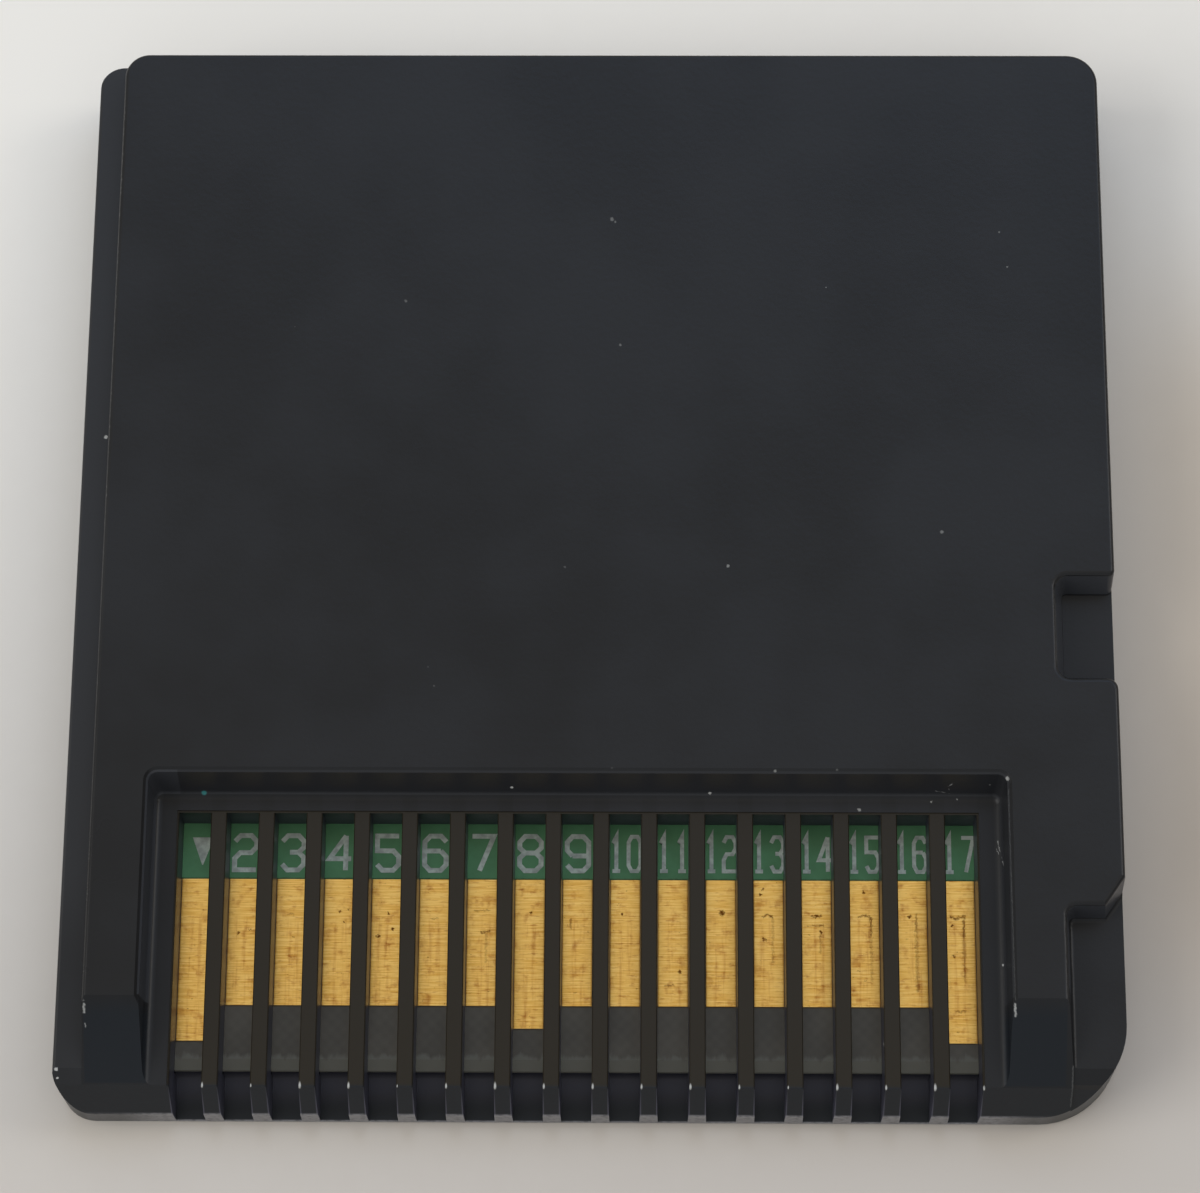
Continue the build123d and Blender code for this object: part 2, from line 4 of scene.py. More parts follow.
import bpy
import numpy as np
from bpy.props import FloatProperty, FloatVectorProperty, PointerProperty
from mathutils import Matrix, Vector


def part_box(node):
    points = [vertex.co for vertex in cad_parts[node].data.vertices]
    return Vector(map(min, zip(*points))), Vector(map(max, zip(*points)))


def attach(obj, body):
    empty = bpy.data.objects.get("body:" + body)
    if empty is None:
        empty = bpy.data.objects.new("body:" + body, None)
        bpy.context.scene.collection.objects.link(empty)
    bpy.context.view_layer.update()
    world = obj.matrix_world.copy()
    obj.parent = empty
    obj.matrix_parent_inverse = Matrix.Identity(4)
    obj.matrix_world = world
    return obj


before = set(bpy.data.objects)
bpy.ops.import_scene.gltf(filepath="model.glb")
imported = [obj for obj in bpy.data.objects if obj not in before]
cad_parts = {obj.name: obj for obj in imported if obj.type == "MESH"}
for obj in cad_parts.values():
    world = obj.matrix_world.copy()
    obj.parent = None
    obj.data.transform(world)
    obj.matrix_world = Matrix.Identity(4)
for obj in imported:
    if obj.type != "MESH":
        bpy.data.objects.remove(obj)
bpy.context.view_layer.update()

bl_info = {
    "name": "Memory card finish",
    "version": (1, 0, 0),
    "blender": (4, 5, 0),
    "location": "3D View > Sidebar > Card",
    "description": "Finishes a memory card for a hand-held console on its packed frame",
    "category": "Object",
}

MM = 0.001
BODY = "root"

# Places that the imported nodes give, in metres
CONTACTS = sorted(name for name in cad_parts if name.startswith("contact_"))
CONTACT_BOXES = [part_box(name) for name in CONTACTS]
CONTACT_MIDDLES = [(low.x + high.x) / 2 for low, high in CONTACT_BOXES]
CONTACT_PITCH = CONTACT_MIDDLES[1] - CONTACT_MIDDLES[0]
CONTACT_HALF_WIDTH = (CONTACT_BOXES[0][1].x - CONTACT_BOXES[0][0].x) / 2
CONTACT_TOP = CONTACT_BOXES[0][1].y
ROW_MIDDLE = (CONTACT_MIDDLES[0] + CONTACT_MIDDLES[-1]) / 2
ROW_REACH = (CONTACT_MIDDLES[-1] - CONTACT_MIDDLES[0] + CONTACT_PITCH) / 2
MASK_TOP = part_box("solder_mask")[1].z
BOARD_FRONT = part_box("circuit_board")[0].y
SHELL_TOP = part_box("back_shell")[1].z
SHELL_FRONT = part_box("back_shell")[0].y

# Boxes around standing walls inside the outline, where painted light lifts their shade, in millimetres:
# X, Y and Z from and to, strength
PAINTED_WALL_LIGHT_BOXES = {
    "latch notch": ((14.3, 16.7), (-4.5, -0.3), (2.76, 3.70), 1.0),
    "cut corner": ((14.4, 16.7), (-14.0, -10.3), (2.80, 3.70), 1.0),
    "window's upper end": ((-12.9, 12.4), (-8.0, -6.9), (2.52, 3.72), 0.35),
    "window's left side": ((-14.0, -12.9), (-14.3, -6.9), (2.52, 3.72), 0.8),
    "window's right side": ((12.4, 13.3), (-14.3, -6.9), (2.52, 3.72), 0.3),
}

# The left ledge, in metres: its step, and where and how far its painted light fades
LEFT_STEP = -15.58 * MM
LEDGE_EDGE = 0.04 * MM
LEDGE_FADE = (-13.5 * MM, -10 * MM)
LEDGE_LIGHT_SHARES = (0.35, 0.75)

# The slots: half their width, the comb's upper end, and the heights where their painted light fades
SLOT_HALF_WIDTH = 0.52 * MM
COMB_END = -7.0 * MM
SLOT_BOTTOM = (0.3 * MM, 0.5 * MM)
SLOT_DEPTHS = (SHELL_TOP - 1.2 * MM, SHELL_TOP - 2.4 * MM)

# The front slopes: where their bluish painted reflection fades in, their sides, and the window's floor
# that they run down to
NOSE_START = SHELL_FRONT + 3.15 * MM
NOSE_FADE = (NOSE_START + 0.1 * MM, NOSE_START - 0.6 * MM)
NOSE_SIDES = (-15.5 * MM, 14.6 * MM)
WINDOW_FLOOR = 2.45 * MM
LEVEL_SLACK = 0.03 * MM

# Rib corners where the front slope starts: from a contact's middle, their Y and Z, the fade of the
# painted reflection on the ribs' tops, and the painted glints at the corners
RIB_SIDE = 0.53 * MM
RIB_CORNER = (SHELL_FRONT + 0.65 * MM, 2.40 * MM)
RIB_TOP_FADE = (RIB_CORNER[0] - 0.02 * MM, RIB_CORNER[0] + 0.10 * MM)
RIB_GLINT_SIZES = (0.035 * MM, 0.095 * MM)
RIB_GLINT_SQUEEZE = (1.5, 0.5, 0.6)
RIB_GLINT_CORE = 0.3

# The painted reflection on the front face: its depth, its patchiness by grain, and its strength past the
# row's ends
FRONT_DEPTH = (SHELL_FRONT + 0.05 * MM, SHELL_FRONT + 0.005 * MM)
FRONT_PATCHES = (0.3, 0.6, 0.4, 0.9)
FRONT_FADE = 1.5 * MM
FRONT_ENDS = 0.27

# Heights between which the plastic's roughness changes, and what flow marks and the marks of dust,
# scratches and painted glints add to it
ROUGH_HEIGHTS = (SHELL_TOP - 1.4 * MM, SHELL_TOP - 0.2 * MM)
FLOW_ROUGHNESS = 0.05
MARK_ROUGHNESS = 0.4

# Fine dust on the shell: cells per metre, the share that holds a grain, its size and its strength,
# and the smallest grain as a share of the size
DUST_CELLS = 930.0
DUST_SHARE = 0.05
DUST_SIZE = 0.04
DUST_STRENGTH = 0.35
DUST_LEAST = 0.35

# Slow noise below and above these is a dark and a pale flow mark
FLOW_LIMITS = (0.3, 0.7)

# Ragged outlines of dust, of marks on the shell and of marks in the gold: noise scale, and its reach
DUST_SHAKE = (9000.0, 0.08 * MM)
SHELL_SHAKE = (11000.0, 0.09 * MM)
GOLD_SHAKE = (13000.0, 0.18 * MM)

# Cores of marks: shares of a dot's radius and of a line's half width
DOT_CORE = 0.45
FLECK_CORE = 0.5
LINE_EDGES = (1.2, 0.1)

# Dust specks and painted glints on the shell in millimetres: place, radius, strength
DUST_MARKS_AND_GLINTS = (
    ((0.56, 11.55, 3.8), 0.085, 0.23),
    ((0.66, 11.45, 3.8), 0.05, 0.23),
    ((-6.10, 8.65, 3.8), 0.06, 0.17),
    ((0.84, 7.13, 3.8), 0.05, 0.21),
    ((11.07, 0.75, 3.8), 0.075, 0.27),
    ((13.14, 11.11, 3.8), 0.04, 0.25),
    ((13.37, 9.88, 3.8), 0.04, 0.35),
    ((-0.87, -0.45, 3.8), 0.05, 0.12),
    ((-4.94, -4.41, 3.8), 0.04, 0.10),
    ((-5.14, -3.79, 3.8), 0.04, 0.10),
    ((5.73, -7.13, 3.73), 0.065, 0.39),
    ((3.72, -7.52, 2.60), 0.07, 0.75),
    ((7.65, -7.10, 3.76), 0.055, 0.15),
    ((0.66, -7.07, 3.79), 0.045, 0.08),
    ((8.39, -8.02, 2.45), 0.07, 0.50),
    ((12.45, -7.37, 3.07), 0.05, 0.20),
    ((-2.49, -7.44, 2.86), 0.07, 1.0),
    ((12.76, -13.00, 2.51), 0.05, 0.77),
    ((9.06, -15.40, 2.07), 0.09, 1.0),
    ((-15.76, 4.34, 2.7), 0.09, 1.0),
    # Painted glint at the window's upper right corner
    ((12.95, -7.35, 3.70), 0.085, 0.65),
    # Painted glints on the left outer edge near the front
    ((-16.37, -16.42, 2.67), 0.075, 1.0),
    ((-16.33, -16.67, 2.54), 0.05, 1.0),
)
# Hairline scratches, then painted highlight lines and glints along edges, in millimetres: start, end,
# half width, strength
HAIRLINES_AND_GLINTS = (
    ((10.65, -7.75, 2.45), (11.27, -7.36, 3.12), 0.03, 0.6),
    ((10.76, -7.48, 2.73), (11.34, -7.55, 2.60), 0.02, 0.6),
    ((11.18, -7.46, 2.85), (11.46, -7.69, 2.46), 0.024, 0.6),
    ((12.70, -9.02, 2.47), (12.84, -9.85, 2.62), 0.022, 0.6),
    ((12.62, -9.20, 2.45), (12.72, -9.45, 2.48), 0.014, 0.6),
    # From here on, painted highlight lines and glints: the window's right rim, the left step, the latch
    # notch and the cut corner
    ((12.97, -7.70, 3.69), (13.01, -14.40, 3.73), 0.022, 0.1),
    ((12.99, -14.51, 3.71), (13.02, -14.84, 3.53), 0.045, 0.7),
    ((-15.48, 16.00, 3.72), (-15.48, -14.50, 3.70), 0.045, 0.28),
    ((14.58, -1.10, 3.72), (14.58, -3.60, 3.72), 0.060, 0.06),
    ((14.80, -16.22, 2.79), (14.80, -16.85, 2.45), 0.035, 0.11),
    ((14.80, -16.85, 2.45), (14.81, -17.25, 1.65), 0.035, 0.10),
    ((-15.47, -14.61, 3.66), (-15.47, -14.84, 3.54), 0.048, 0.6),
    ((-15.44, -15.15, 3.37), (-15.44, -15.24, 3.32), 0.035, 0.4),
)
# Pits in the gold in millimetres: X, Y and radius
GOLD_PITS = (
    (4.11, -11.03, 0.115),
    (5.32, -10.43, 0.06),
    (5.39, -10.27, 0.055),
    (5.43, -11.88, 0.08),
    (7.06, -11.12, 0.08),
    (7.21, -11.63, 0.07),
    (8.57, -10.33, 0.06),
    (10.00, -11.13, 0.08),
    (11.36, -12.39, 0.06),
    (11.32, -11.41, 0.06),
    (-6.68, -11.81, 0.075),
    (-6.36, -11.07, 0.06),
    (-6.22, -11.58, 0.065),
    (2.78, -12.93, 0.075),
    (-1.89, -11.04, 0.05),
    (0.98, -11.08, 0.055),
    (-11.06, -11.72, 0.06),
    (-10.72, -11.62, 0.045),
    (-7.90, -11.02, 0.055),
    (-7.65, -10.95, 0.045),
    (-7.75, -11.37, 0.05),
)
# Scratches in the gold in millimetres: X and Y of the start and of the end, half width, strength
GOLD_SCRATCHES = (
    (5.41, -11.15, 5.53, -11.06, 0.05, 0.8),
    (5.53, -11.06, 5.67, -11.14, 0.05, 0.8),
    (5.70, -11.20, 5.70, -12.60, 0.06, 0.3),
    (6.92, -11.14, 7.21, -11.11, 0.045, 0.7),
    (6.80, -11.42, 7.28, -11.42, 0.035, 0.6),
    (7.20, -11.70, 7.19, -12.30, 0.05, 0.35),
    (8.40, -11.15, 8.58, -11.08, 0.05, 0.7),
    (8.58, -11.08, 8.78, -11.16, 0.05, 0.8),
    (8.78, -11.16, 8.79, -11.75, 0.055, 0.75),
    (8.79, -11.75, 8.79, -13.20, 0.06, 0.3),
    (10.20, -11.05, 10.20, -11.55, 0.05, 0.55),
    (10.20, -11.55, 10.21, -13.50, 0.075, 0.4),
    (11.27, -11.12, 11.44, -11.19, 0.055, 0.8),
    (11.44, -11.19, 11.72, -11.08, 0.05, 0.7),
    (11.70, -11.10, 11.69, -11.75, 0.06, 0.65),
    (11.69, -11.75, 11.69, -13.20, 0.07, 0.35),
    (11.38, -14.16, 11.70, -14.16, 0.035, 0.5),
    (-3.45, -11.68, -3.20, -11.64, 0.05, 0.7),
    (-3.65, -10.99, -3.21, -10.96, 0.04, 0.45),
    (-3.29, -11.75, -3.29, -12.60, 0.06, 0.3),
    (-0.64, -11.27, -0.64, -11.53, 0.045, 0.5),
    (-9.53, -11.10, -9.34, -11.10, 0.04, 0.5),
    (2.32, -13.37, 2.57, -13.36, 0.035, 0.5),
    (-5.00, -11.24, -4.81, -11.23, 0.04, 0.5),
)
# One bluish fleck in millimetres: place, radius, strength
FLECK = ((-12.16, -7.57, 2.57), 0.11, 1.0)

# Streaks in the gold: noise scales across and along, the level that counts and its softness
GOLD_STREAKS = {
    "lines": (900.0, 26000.0, 0.50, 0.20),
    "wipes": (2600.0, 12000.0, 0.55, 0.14),
    "rubs": (9000.0, 700.0, 0.42, 0.20),
    "blotch": (2600.0, 2200.0, 0.50, 0.22),
    "specks": (5200.0, 7400.0, 0.68, 0.05),
}
# How strongly each kind of wear shows, brown stains and then dark tarnish; the dark also holds painted
# shade along the contacts' sides
STAIN_WEIGHTS = {"lines": 0.08, "wipes": 0.34, "track": 0.24, "blotch": 0.34}
TARNISH_WEIGHTS = {"rim": 0.45, "specks": 0.5, "marks": 0.95}
BRUSHED_TONES = (0.36, 0.64)
MARK_PATCHES = (0.35, 0.55, 0.5, 1.0)

# Rub tracks on a contact in metres: random shift, distance from the middle, widths, start
TRACK_SHIFT = 0.1 * MM
TRACK_ASIDE = 0.13 * MM
TRACK_WIDTHS = (0.12 * MM, 0.01 * MM)
TRACK_START = (CONTACT_TOP - 1.0 * MM, CONTACT_TOP - 1.5 * MM)
# Width of the painted shade along each contact's sides
GOLD_SHADE_RIM = 0.05 * MM

# The laminate: its weave, how much of it shows, its dark share, and the frayed edge
WEAVE_PITCH = 0.42 * MM
WEAVE_TONE = 0.2
WEAVE_HEIGHT = 0.3
LAMINATE_DARK = 0.72
FRAY_SCALES = (2600.0, 900.0)
FRAY_REACH = 0.70 * MM
FRAYED_EDGE = (BOARD_FRONT + 0.16 * MM, BOARD_FRONT - 0.02 * MM)

# The lacquer: its gloss, and the dark ragged edge at the contacts
LACQUER_GLOSS = 0.12
LACQUER_RAGGED = 0.05 * MM
LACQUER_EDGE = (CONTACT_TOP + 0.05 * MM, CONTACT_TOP - 0.01 * MM)
LACQUER_EDGE_SHARE = 0.7
LACQUER_EDGE_COLOUR = (0.012, 0.035, 0.014)

# Dark and pale tones of the small parts, and the thin places in the ink
RESIN_TONES = ((0.012, 0.012, 0.013), (0.022, 0.022, 0.024))
TIN_TONES = ((0.52, 0.52, 0.53), (0.72, 0.72, 0.73))
CERAMIC_TONES = ((0.26, 0.16, 0.085), (0.40, 0.26, 0.15))
INK_THIN = 0.62

# Each finish: scales of its fine and its slow noise, strength and depth of its relief in metres,
# and its roughness in smooth and in dull places (the shell's is a setting)
FINISHES = {
    "shell": (5200.0, 170.0, 0.35, 0.014 * MM),
    "laminate": (9000.0, 500.0, 0.3, 0.01 * MM, 0.55, 0.8),
    "lacquer": (7000.0, 900.0, 0.2, 0.006 * MM, 0.32, 0.42),
    "gold": (12000.0, 900.0, 0.35, 0.006 * MM, 0.34, 0.6),
    "resin": (8000.0, 700.0, 0.3, 0.01 * MM, 0.5, 0.7),
    "tin": (9000.0, 2500.0, 0.2, 0.01 * MM, 0.28, 0.42),
    "ceramic": (9000.0, 3000.0, 0.2, 0.008 * MM, 0.4, 0.6),
    "ink": (9000.0, 4000.0, 0.2, 0.005 * MM, 0.5, 0.75),
}

# The table: depth below the card, mesh, grain, the lean and limits of its painted shade, and its warm
# painted shadow to the right of the card
FLOOR_DROP = 0.01 * MM
FLOOR_RINGS, FLOOR_TURNS = 24, 96
FLOOR_HUB = 0.02
TABLE_GRAIN = 900.0
TABLE_ROUGHNESS = 0.75
TABLE_RELIEF = (0.1, 0.02 * MM)
SHADE_LEAN = (0.12, 0.45)
SHADE_SHAKE = 1.5 * MM
SHADE_LIMITS = (-9 * MM, 10 * MM)
SHADOW_PATCH_RISE = (14 * MM, 20 * MM)
SHADOW_PATCH_FALL = (45 * MM, 22 * MM)
SHADOW_PATCH_BAND = (-14 * MM, 10 * MM, 5 * MM)

# Light from parts of the room, laid over the walls: its setting, the direction it lies in, where it
# begins and is full along that, and the same for its height
ROOM_LIGHTS = (
    ("zenith", (0, 0, 1), (0.35, 0.9), None),
    ("sky", (0.22, 0.9, 0), (0.33, 0.45), (0.5, 0.75)),
    ("near", (0, 1, 0), (0.0, -0.7), None),
    ("front", (0, 1, 0), (-0.1, -0.6), (0.6, 0.25)),
    ("dim", (1, 0, 0), (0.5, 0.85), (0.55, 0.2)),
)
# Soft square lights that point at the card: place and side in metres, power, tint
SOFT_LIGHTS = {
    "left_light": ((-0.42, -0.09, 0.34), 0.36, 1.15, (1.0, 0.995, 0.98)),
    "right_light": ((0.42, 0.12, 0.33), 0.22, 0.45, (1.0, 0.96, 0.90)),
}
SENSOR_WIDTH = 36.0
CLIP_RANGE = (0.01, 10.0)

# Contact numbers of two digits: width and stroke of a digit, its step in strokes, and the rise
# of a crossing stroke as a share of the ink
PAIR_WIDTH = 0.55
PAIR_STROKE = 0.8
PAIR_STEP = 1.6
CROSSING_RISE = 0.1
# The first contact's mark: its upper and lower end and its tip, as shares of a number's size
MARK_ENDS = (0.94, 0.14)
MARK_TIP = 0.04

# Strokes of the digits in the contact numbers, on a field 4 wide and 6 high.
# A stroke that ends where it starts is closed.
DIGIT_STROKES = {
    "0": [[(1, 0), (3, 0), (4, 1), (4, 5), (3, 6), (1, 6), (0, 5), (0, 1), (1, 0)]],
    "1": [[(0.9, 4.9), (2, 6), (2, 0)], [(0.7, 0), (3.3, 0)]],
    "2": [[(0, 5), (1, 6), (3, 6), (4, 5), (4, 4), (3, 3), (1, 3), (0, 2), (0, 0), (4, 0)]],
    "3": [
        [(0, 5), (1, 6), (3, 6), (4, 5), (4, 4), (3, 3.1), (1.4, 3.1)],
        [(3, 3.1), (4, 2.2), (4, 1), (3, 0), (1, 0), (0, 1)],
    ],
    "4": [[(3, 0), (3, 6)], [(3, 6), (0, 2), (4, 2)]],
    "5": [[(4, 6), (0, 6), (0, 3.4), (3, 3.4), (4, 2.4), (4, 1), (3, 0), (1, 0), (0, 1)]],
    "6": [
        [(4, 5), (3, 6), (1, 6), (0, 5), (0, 1), (1, 0), (3, 0), (4, 1), (4, 2.4), (3, 3.4)],
        [(3, 3.4), (0, 3.4)],
    ],
    "7": [[(0, 6), (4, 6), (1.4, 0)]],
    "8": [
        [(1, 3.1), (3, 3.1), (4, 4), (4, 5), (3, 6), (1, 6), (0, 5), (0, 4), (1, 3.1)],
        [(1, 3.1), (0, 2.2), (0, 1), (1, 0), (3, 0), (4, 1), (4, 2.2), (3, 3.1)],
    ],
    "9": [
        [(0, 1), (1, 0), (3, 0), (4, 1), (4, 5), (3, 6), (1, 6), (0, 5), (0, 3.6), (1, 2.6)],
        [(1, 2.6), (4, 2.6)],
    ],
}
DIGIT_FIELD = (4, 6)

# Kinds of settings
ColourProperty = partial(FloatVectorProperty, subtype="COLOR", min=0, max=1)
LightProperty = partial(FloatVectorProperty, subtype="COLOR", min=0, max=2)
LengthProperty = partial(FloatProperty, unit="LENGTH")


class CardShellSettings(bpy.types.PropertyGroup):
    """Finish of the two moulded shells."""
    colour: ColourProperty(
        name="Plastic", description="Colour of the moulded plastic", default=(0.0079, 0.0078, 0.0080))
    pale: ColourProperty(
        name="Pale plastic", description="Colour of the faint pale flow marks",
        default=(0.0121, 0.0124, 0.0134))
    # Also the colour of the painted glints and highlight lines on edges and at the rib corners
    dust: ColourProperty(
        name="Dust", description="Colour of dust and scratches", default=(0.42, 0.42, 0.40))
    satin: FloatProperty(
        name="Satin roughness", description="Roughness of the outer faces", default=0.27, min=0, max=1)
    gloss: FloatProperty(
        name="Gloss", description="Strength of the plastic's gloss", default=0.25, min=0, max=1)
    # Painted light: a paler colour on the left ledge, lifting the shade cast by its step
    film: ColourProperty(
        name="Film", description="Colour of the left ledge's film of dust",
        default=(0.027, 0.0275, 0.0295))
    # Painted light: a paler colour on the inner walls, lifting the shade that falls on them
    wall: ColourProperty(
        name="Inner walls", description="Colour of the standing walls inside the outline",
        default=(0.036, 0.038, 0.043))
    # Painted reflection: a pale colour on the front face, standing in for the table it mirrors
    rubbed: ColourProperty(
        name="Rubbed edge", description="Colour of the rubbed front face", default=(0.215, 0.210, 0.218))
    # Painted light: a paler colour low down in the slots, lifting the shade there
    deep: ColourProperty(
        name="Slot floor", description="Colour of the plastic low down in the slots",
        default=(0.051, 0.0505, 0.068))
    # Painted reflection: a bluish tint on the slopes in front
    nose: ColourProperty(
        name="Nose", description="Colour of the worn slope in front", default=(0.0072, 0.0093, 0.0122))
    # Painted reflection: a brownish tint on the ribs' tops, standing in for the gold beside them
    rib: ColourProperty(
        name="Ribs", description="Colour of the ribs' tops with their film of dirt",
        default=(0.0150, 0.0112, 0.0056))
    fleck: ColourProperty(
        name="Fleck", description="Colour of the one bluish fleck", default=(0.03, 0.17, 0.17))
    inner: FloatProperty(
        name="Inner roughness", description="Roughness down in the window and the slots",
        default=0.32, min=0, max=1)


class CardBoardSettings(bpy.types.PropertyGroup):
    """Finish of the circuit board, its lacquer and its contacts."""
    laminate: ColourProperty(
        name="Laminate", description="Colour of the bare laminate", default=(0.122, 0.106, 0.078))
    frayed: ColourProperty(
        name="Frayed edge", description="Colour of the bevelled glass fibres",
        default=(0.185, 0.178, 0.145))
    lacquer: ColourProperty(
        name="Lacquer", description="Colour of the green lacquer", default=(0.112, 0.285, 0.134))
    lacquer_pale: ColourProperty(
        name="Pale lacquer", description="Colour of the lacquer over copper",
        default=(0.140, 0.350, 0.168))
    gold: ColourProperty(
        name="Gold", description="Colour of the gold plate", default=(0.95, 0.617, 0.180))
    gold_dim: ColourProperty(
        name="Dim gold", description="Colour of the gold along its brush lines",
        default=(0.80, 0.443, 0.088))
    stain: ColourProperty(
        name="Stain", description="Colour of wipe marks and blotches on the gold",
        default=(0.42, 0.075, 0.0))
    tarnish: ColourProperty(
        # Also the colour of the painted shade along the contacts' sides
        name="Tarnish", description="Colour of pits and scratches in the gold",
        default=(0.20, 0.052, 0.0))


class CardLegendSettings(bpy.types.PropertyGroup):
    """Sizes of the printed contact numbers."""
    height: LengthProperty(
        name="Number height", description="Height of a contact number", default=1.12 * MM, min=0.2 * MM)
    width: LengthProperty(
        name="Number width", description="Width of a single digit", default=0.68 * MM, min=0.1 * MM)
    stroke: LengthProperty(
        name="Stroke", description="Width of a printed stroke", default=0.155 * MM, min=0.02 * MM)
    thickness: LengthProperty(name="Ink", description="Thickness of the ink", default=0.012 * MM)
    gap: LengthProperty(
        name="Gap", description="From the top of a contact to its number", default=0.30 * MM)
    mark_shift: LengthProperty(
        name="Mark shift", description="Sideways step of the first contact's mark", default=0.15 * MM)
    colour: ColourProperty(
        name="Ink colour", description="Colour of the printed ink", default=(0.70, 0.78, 0.69))


class CardStageSettings(bpy.types.PropertyGroup):
    """Floor, light and camera."""
    floor: ColourProperty(name="Floor", description="Colour of the table", default=(0.83, 0.80, 0.742))
    floor_radius: LengthProperty(name="Floor radius", description="Reach of the table", default=0.9)
    shade: ColourProperty(
        name="Shaded floor", description="Colour of the table on its dim side",
        default=(0.53, 0.485, 0.435))
    # Painted shadow: a warm darker tint on the table to the right of the card, where its shadow falls
    warm: ColourProperty(
        name="Warm side", description="Tint of the table on its right", default=(0.84, 0.775, 0.70))
    zenith: LightProperty(name="Ceiling", description="Light from above", default=(0.735, 0.715, 0.685))
    walls: LightProperty(name="Walls", description="Light from the sides", default=(0.47, 0.465, 0.455))
    dim: LightProperty(
        name="Dim side", description="Light from low down on the right", default=(0.16, 0.155, 0.15))
    sky: LightProperty(
        name="Sky", description="Light from high up at the back", default=(1.18, 1.46, 1.95))
    front: LightProperty(
        name="Front", description="Light from low down in front", default=(0.72, 0.75, 0.79))
    near: LightProperty(
        name="Near side", description="Light from the viewer's side", default=(0.53, 0.55, 0.57))
    lens: FloatProperty(
        name="Lens", description="Focal length on a 36 mm wide sensor, in mm", default=123.88)
    camera_place: FloatVectorProperty(
        name="Camera place", description="Where the camera stands", subtype="TRANSLATION",
        unit="LENGTH", default=(1.818 * MM, -43.458 * MM, 127.138 * MM))
    camera_turn: FloatVectorProperty(
        name="Camera turn", description="Camera angles", subtype="EULER", unit="ROTATION",
        default=(math.radians(18.817), math.radians(0.608), math.radians(0.358)))


SETTINGS = {
    "card_shell": CardShellSettings,
    "card_board": CardBoardSettings,
    "card_legend": CardLegendSettings,
    "card_stage": CardStageSettings,
}


class Nodes:
    """Short ways to build one node tree."""

    def __init__(self, tree):
        self.tree = tree

    def put(self, socket, value):
        """Links another node's output to a socket, or writes a plain value into it."""
        if isinstance(value, bpy.types.NodeSocket):
            self.tree.links.new(value, socket)
        elif value is not None:
            socket.default_value = value

    def add(self, kind, inputs=None, **settings):
        """A new node with its settings and inputs."""
        node = self.tree.nodes.new(kind)
        for name, value in settings.items():
            setattr(node, name, value)
        for name, value in (inputs or {}).items():
            self.put(node.inputs[name], value)
        return node

    def math(self, operation, first, second=None, third=None, clamp=False):
        """One arithmetic step on numbers."""
        node = self.add("ShaderNodeMath", operation=operation, use_clamp=clamp)
        for socket, value in zip(node.inputs, (first, second, third)):
            self.put(socket, value)
        return node.outputs[0]

    def times(self, first, *others):
        """The product of several numbers."""
        for value in others:
            first = self.math("MULTIPLY", first, value)
        return first

    def vector(self, operation, first, second=None, output="Vector"):
        """One arithmetic step on vectors."""
        node = self.add("ShaderNodeVectorMath", operation=operation)
        self.put(node.inputs[0], first)
        if operation == "SCALE":
            self.put(node.inputs["Scale"], second)
        else:
            self.put(node.inputs[1], second)
        return node.outputs[output]

    def ramp(self, value, low, high, to_low=0.0, to_high=1.0, smooth=True):
        """A value that runs from to_low at low to to_high at high."""
        kind = "SMOOTHSTEP" if smooth else "LINEAR"
        node = self.add("ShaderNodeMapRange", interpolation_type=kind, clamp=True)
        for name, item in zip(("Value", "From Min", "From Max", "To Min", "To Max"),
                              (value, low, high, to_low, to_high)):
            self.put(node.inputs[name], item)
        return node.outputs["Result"]

    def band(self, value, low, high, soft):
        """A mask that is 1 between two limits, with soft sides."""
        above = self.ramp(value, low - soft, low + soft)
        return self.times(above, self.ramp(value, high + soft, high - soft))

    def blend(self, share, first, second, kind="MIX"):
        """Two colours mixed by a share."""
        node = self.add("ShaderNodeMix", data_type="RGBA", blend_type=kind, clamp_factor=True)
        self.put(node.inputs["Factor"], share)
        for name, value in (("A", first), ("B", second)):
            socket = next(s for s in node.inputs if s.name == name and s.type == "RGBA")
            self.put(socket, colour(value))
        return next(s for s in node.outputs if s.type == "RGBA")

    def place(self):
        """Object coordinates."""
        return self.add("ShaderNodeTexCoord").outputs["Object"]

    def parts(self, vector):
        """The three numbers of a vector."""
        node = self.add("ShaderNodeSeparateXYZ", {"Vector": vector})
        return node.outputs["X"], node.outputs["Y"], node.outputs["Z"]

    def noise(self, vector, scale, detail=2.0, roughness=0.5):
        """A soft random value."""
        node = self.add("ShaderNodeTexNoise", {
            "Vector": vector, "Scale": scale, "Detail": detail, "Roughness": roughness})
        return node.outputs["Fac"]

    def group(self, group, **inputs):
        """A shared effect placed in this tree."""
        node = self.add("ShaderNodeGroup", node_tree=group)
        for name, value in inputs.items():
            self.put(node.inputs[name.replace("_", " ").title()], value)
        return node.outputs


def colour(value):
    """A colour with its fourth number, or a socket as it is."""
    if isinstance(value, bpy.types.NodeSocket):
        return value
    return (*tuple(value)[:3], 1.0)


def new_group(name, inputs, outputs):
    """An empty shader node group with number sockets, and its helper."""
    tree = bpy.data.node_groups.new(name, "ShaderNodeTree")
    for label, default in inputs.items():
        socket = tree.interface.new_socket(label, in_out="INPUT", socket_type="NodeSocketFloat")
        socket.default_value = default
    for label in outputs:
        tree.interface.new_socket(label, in_out="OUTPUT", socket_type="NodeSocketFloat")
    nodes = Nodes(tree)
    start = nodes.add("NodeGroupInput")
    end = nodes.add("NodeGroupOutput")
    return tree, nodes, start.outputs, end.inputs


def shared(name, build):
    """A node group by its name, built the first time it is asked for."""
    return bpy.data.node_groups.get(name) or build(name)


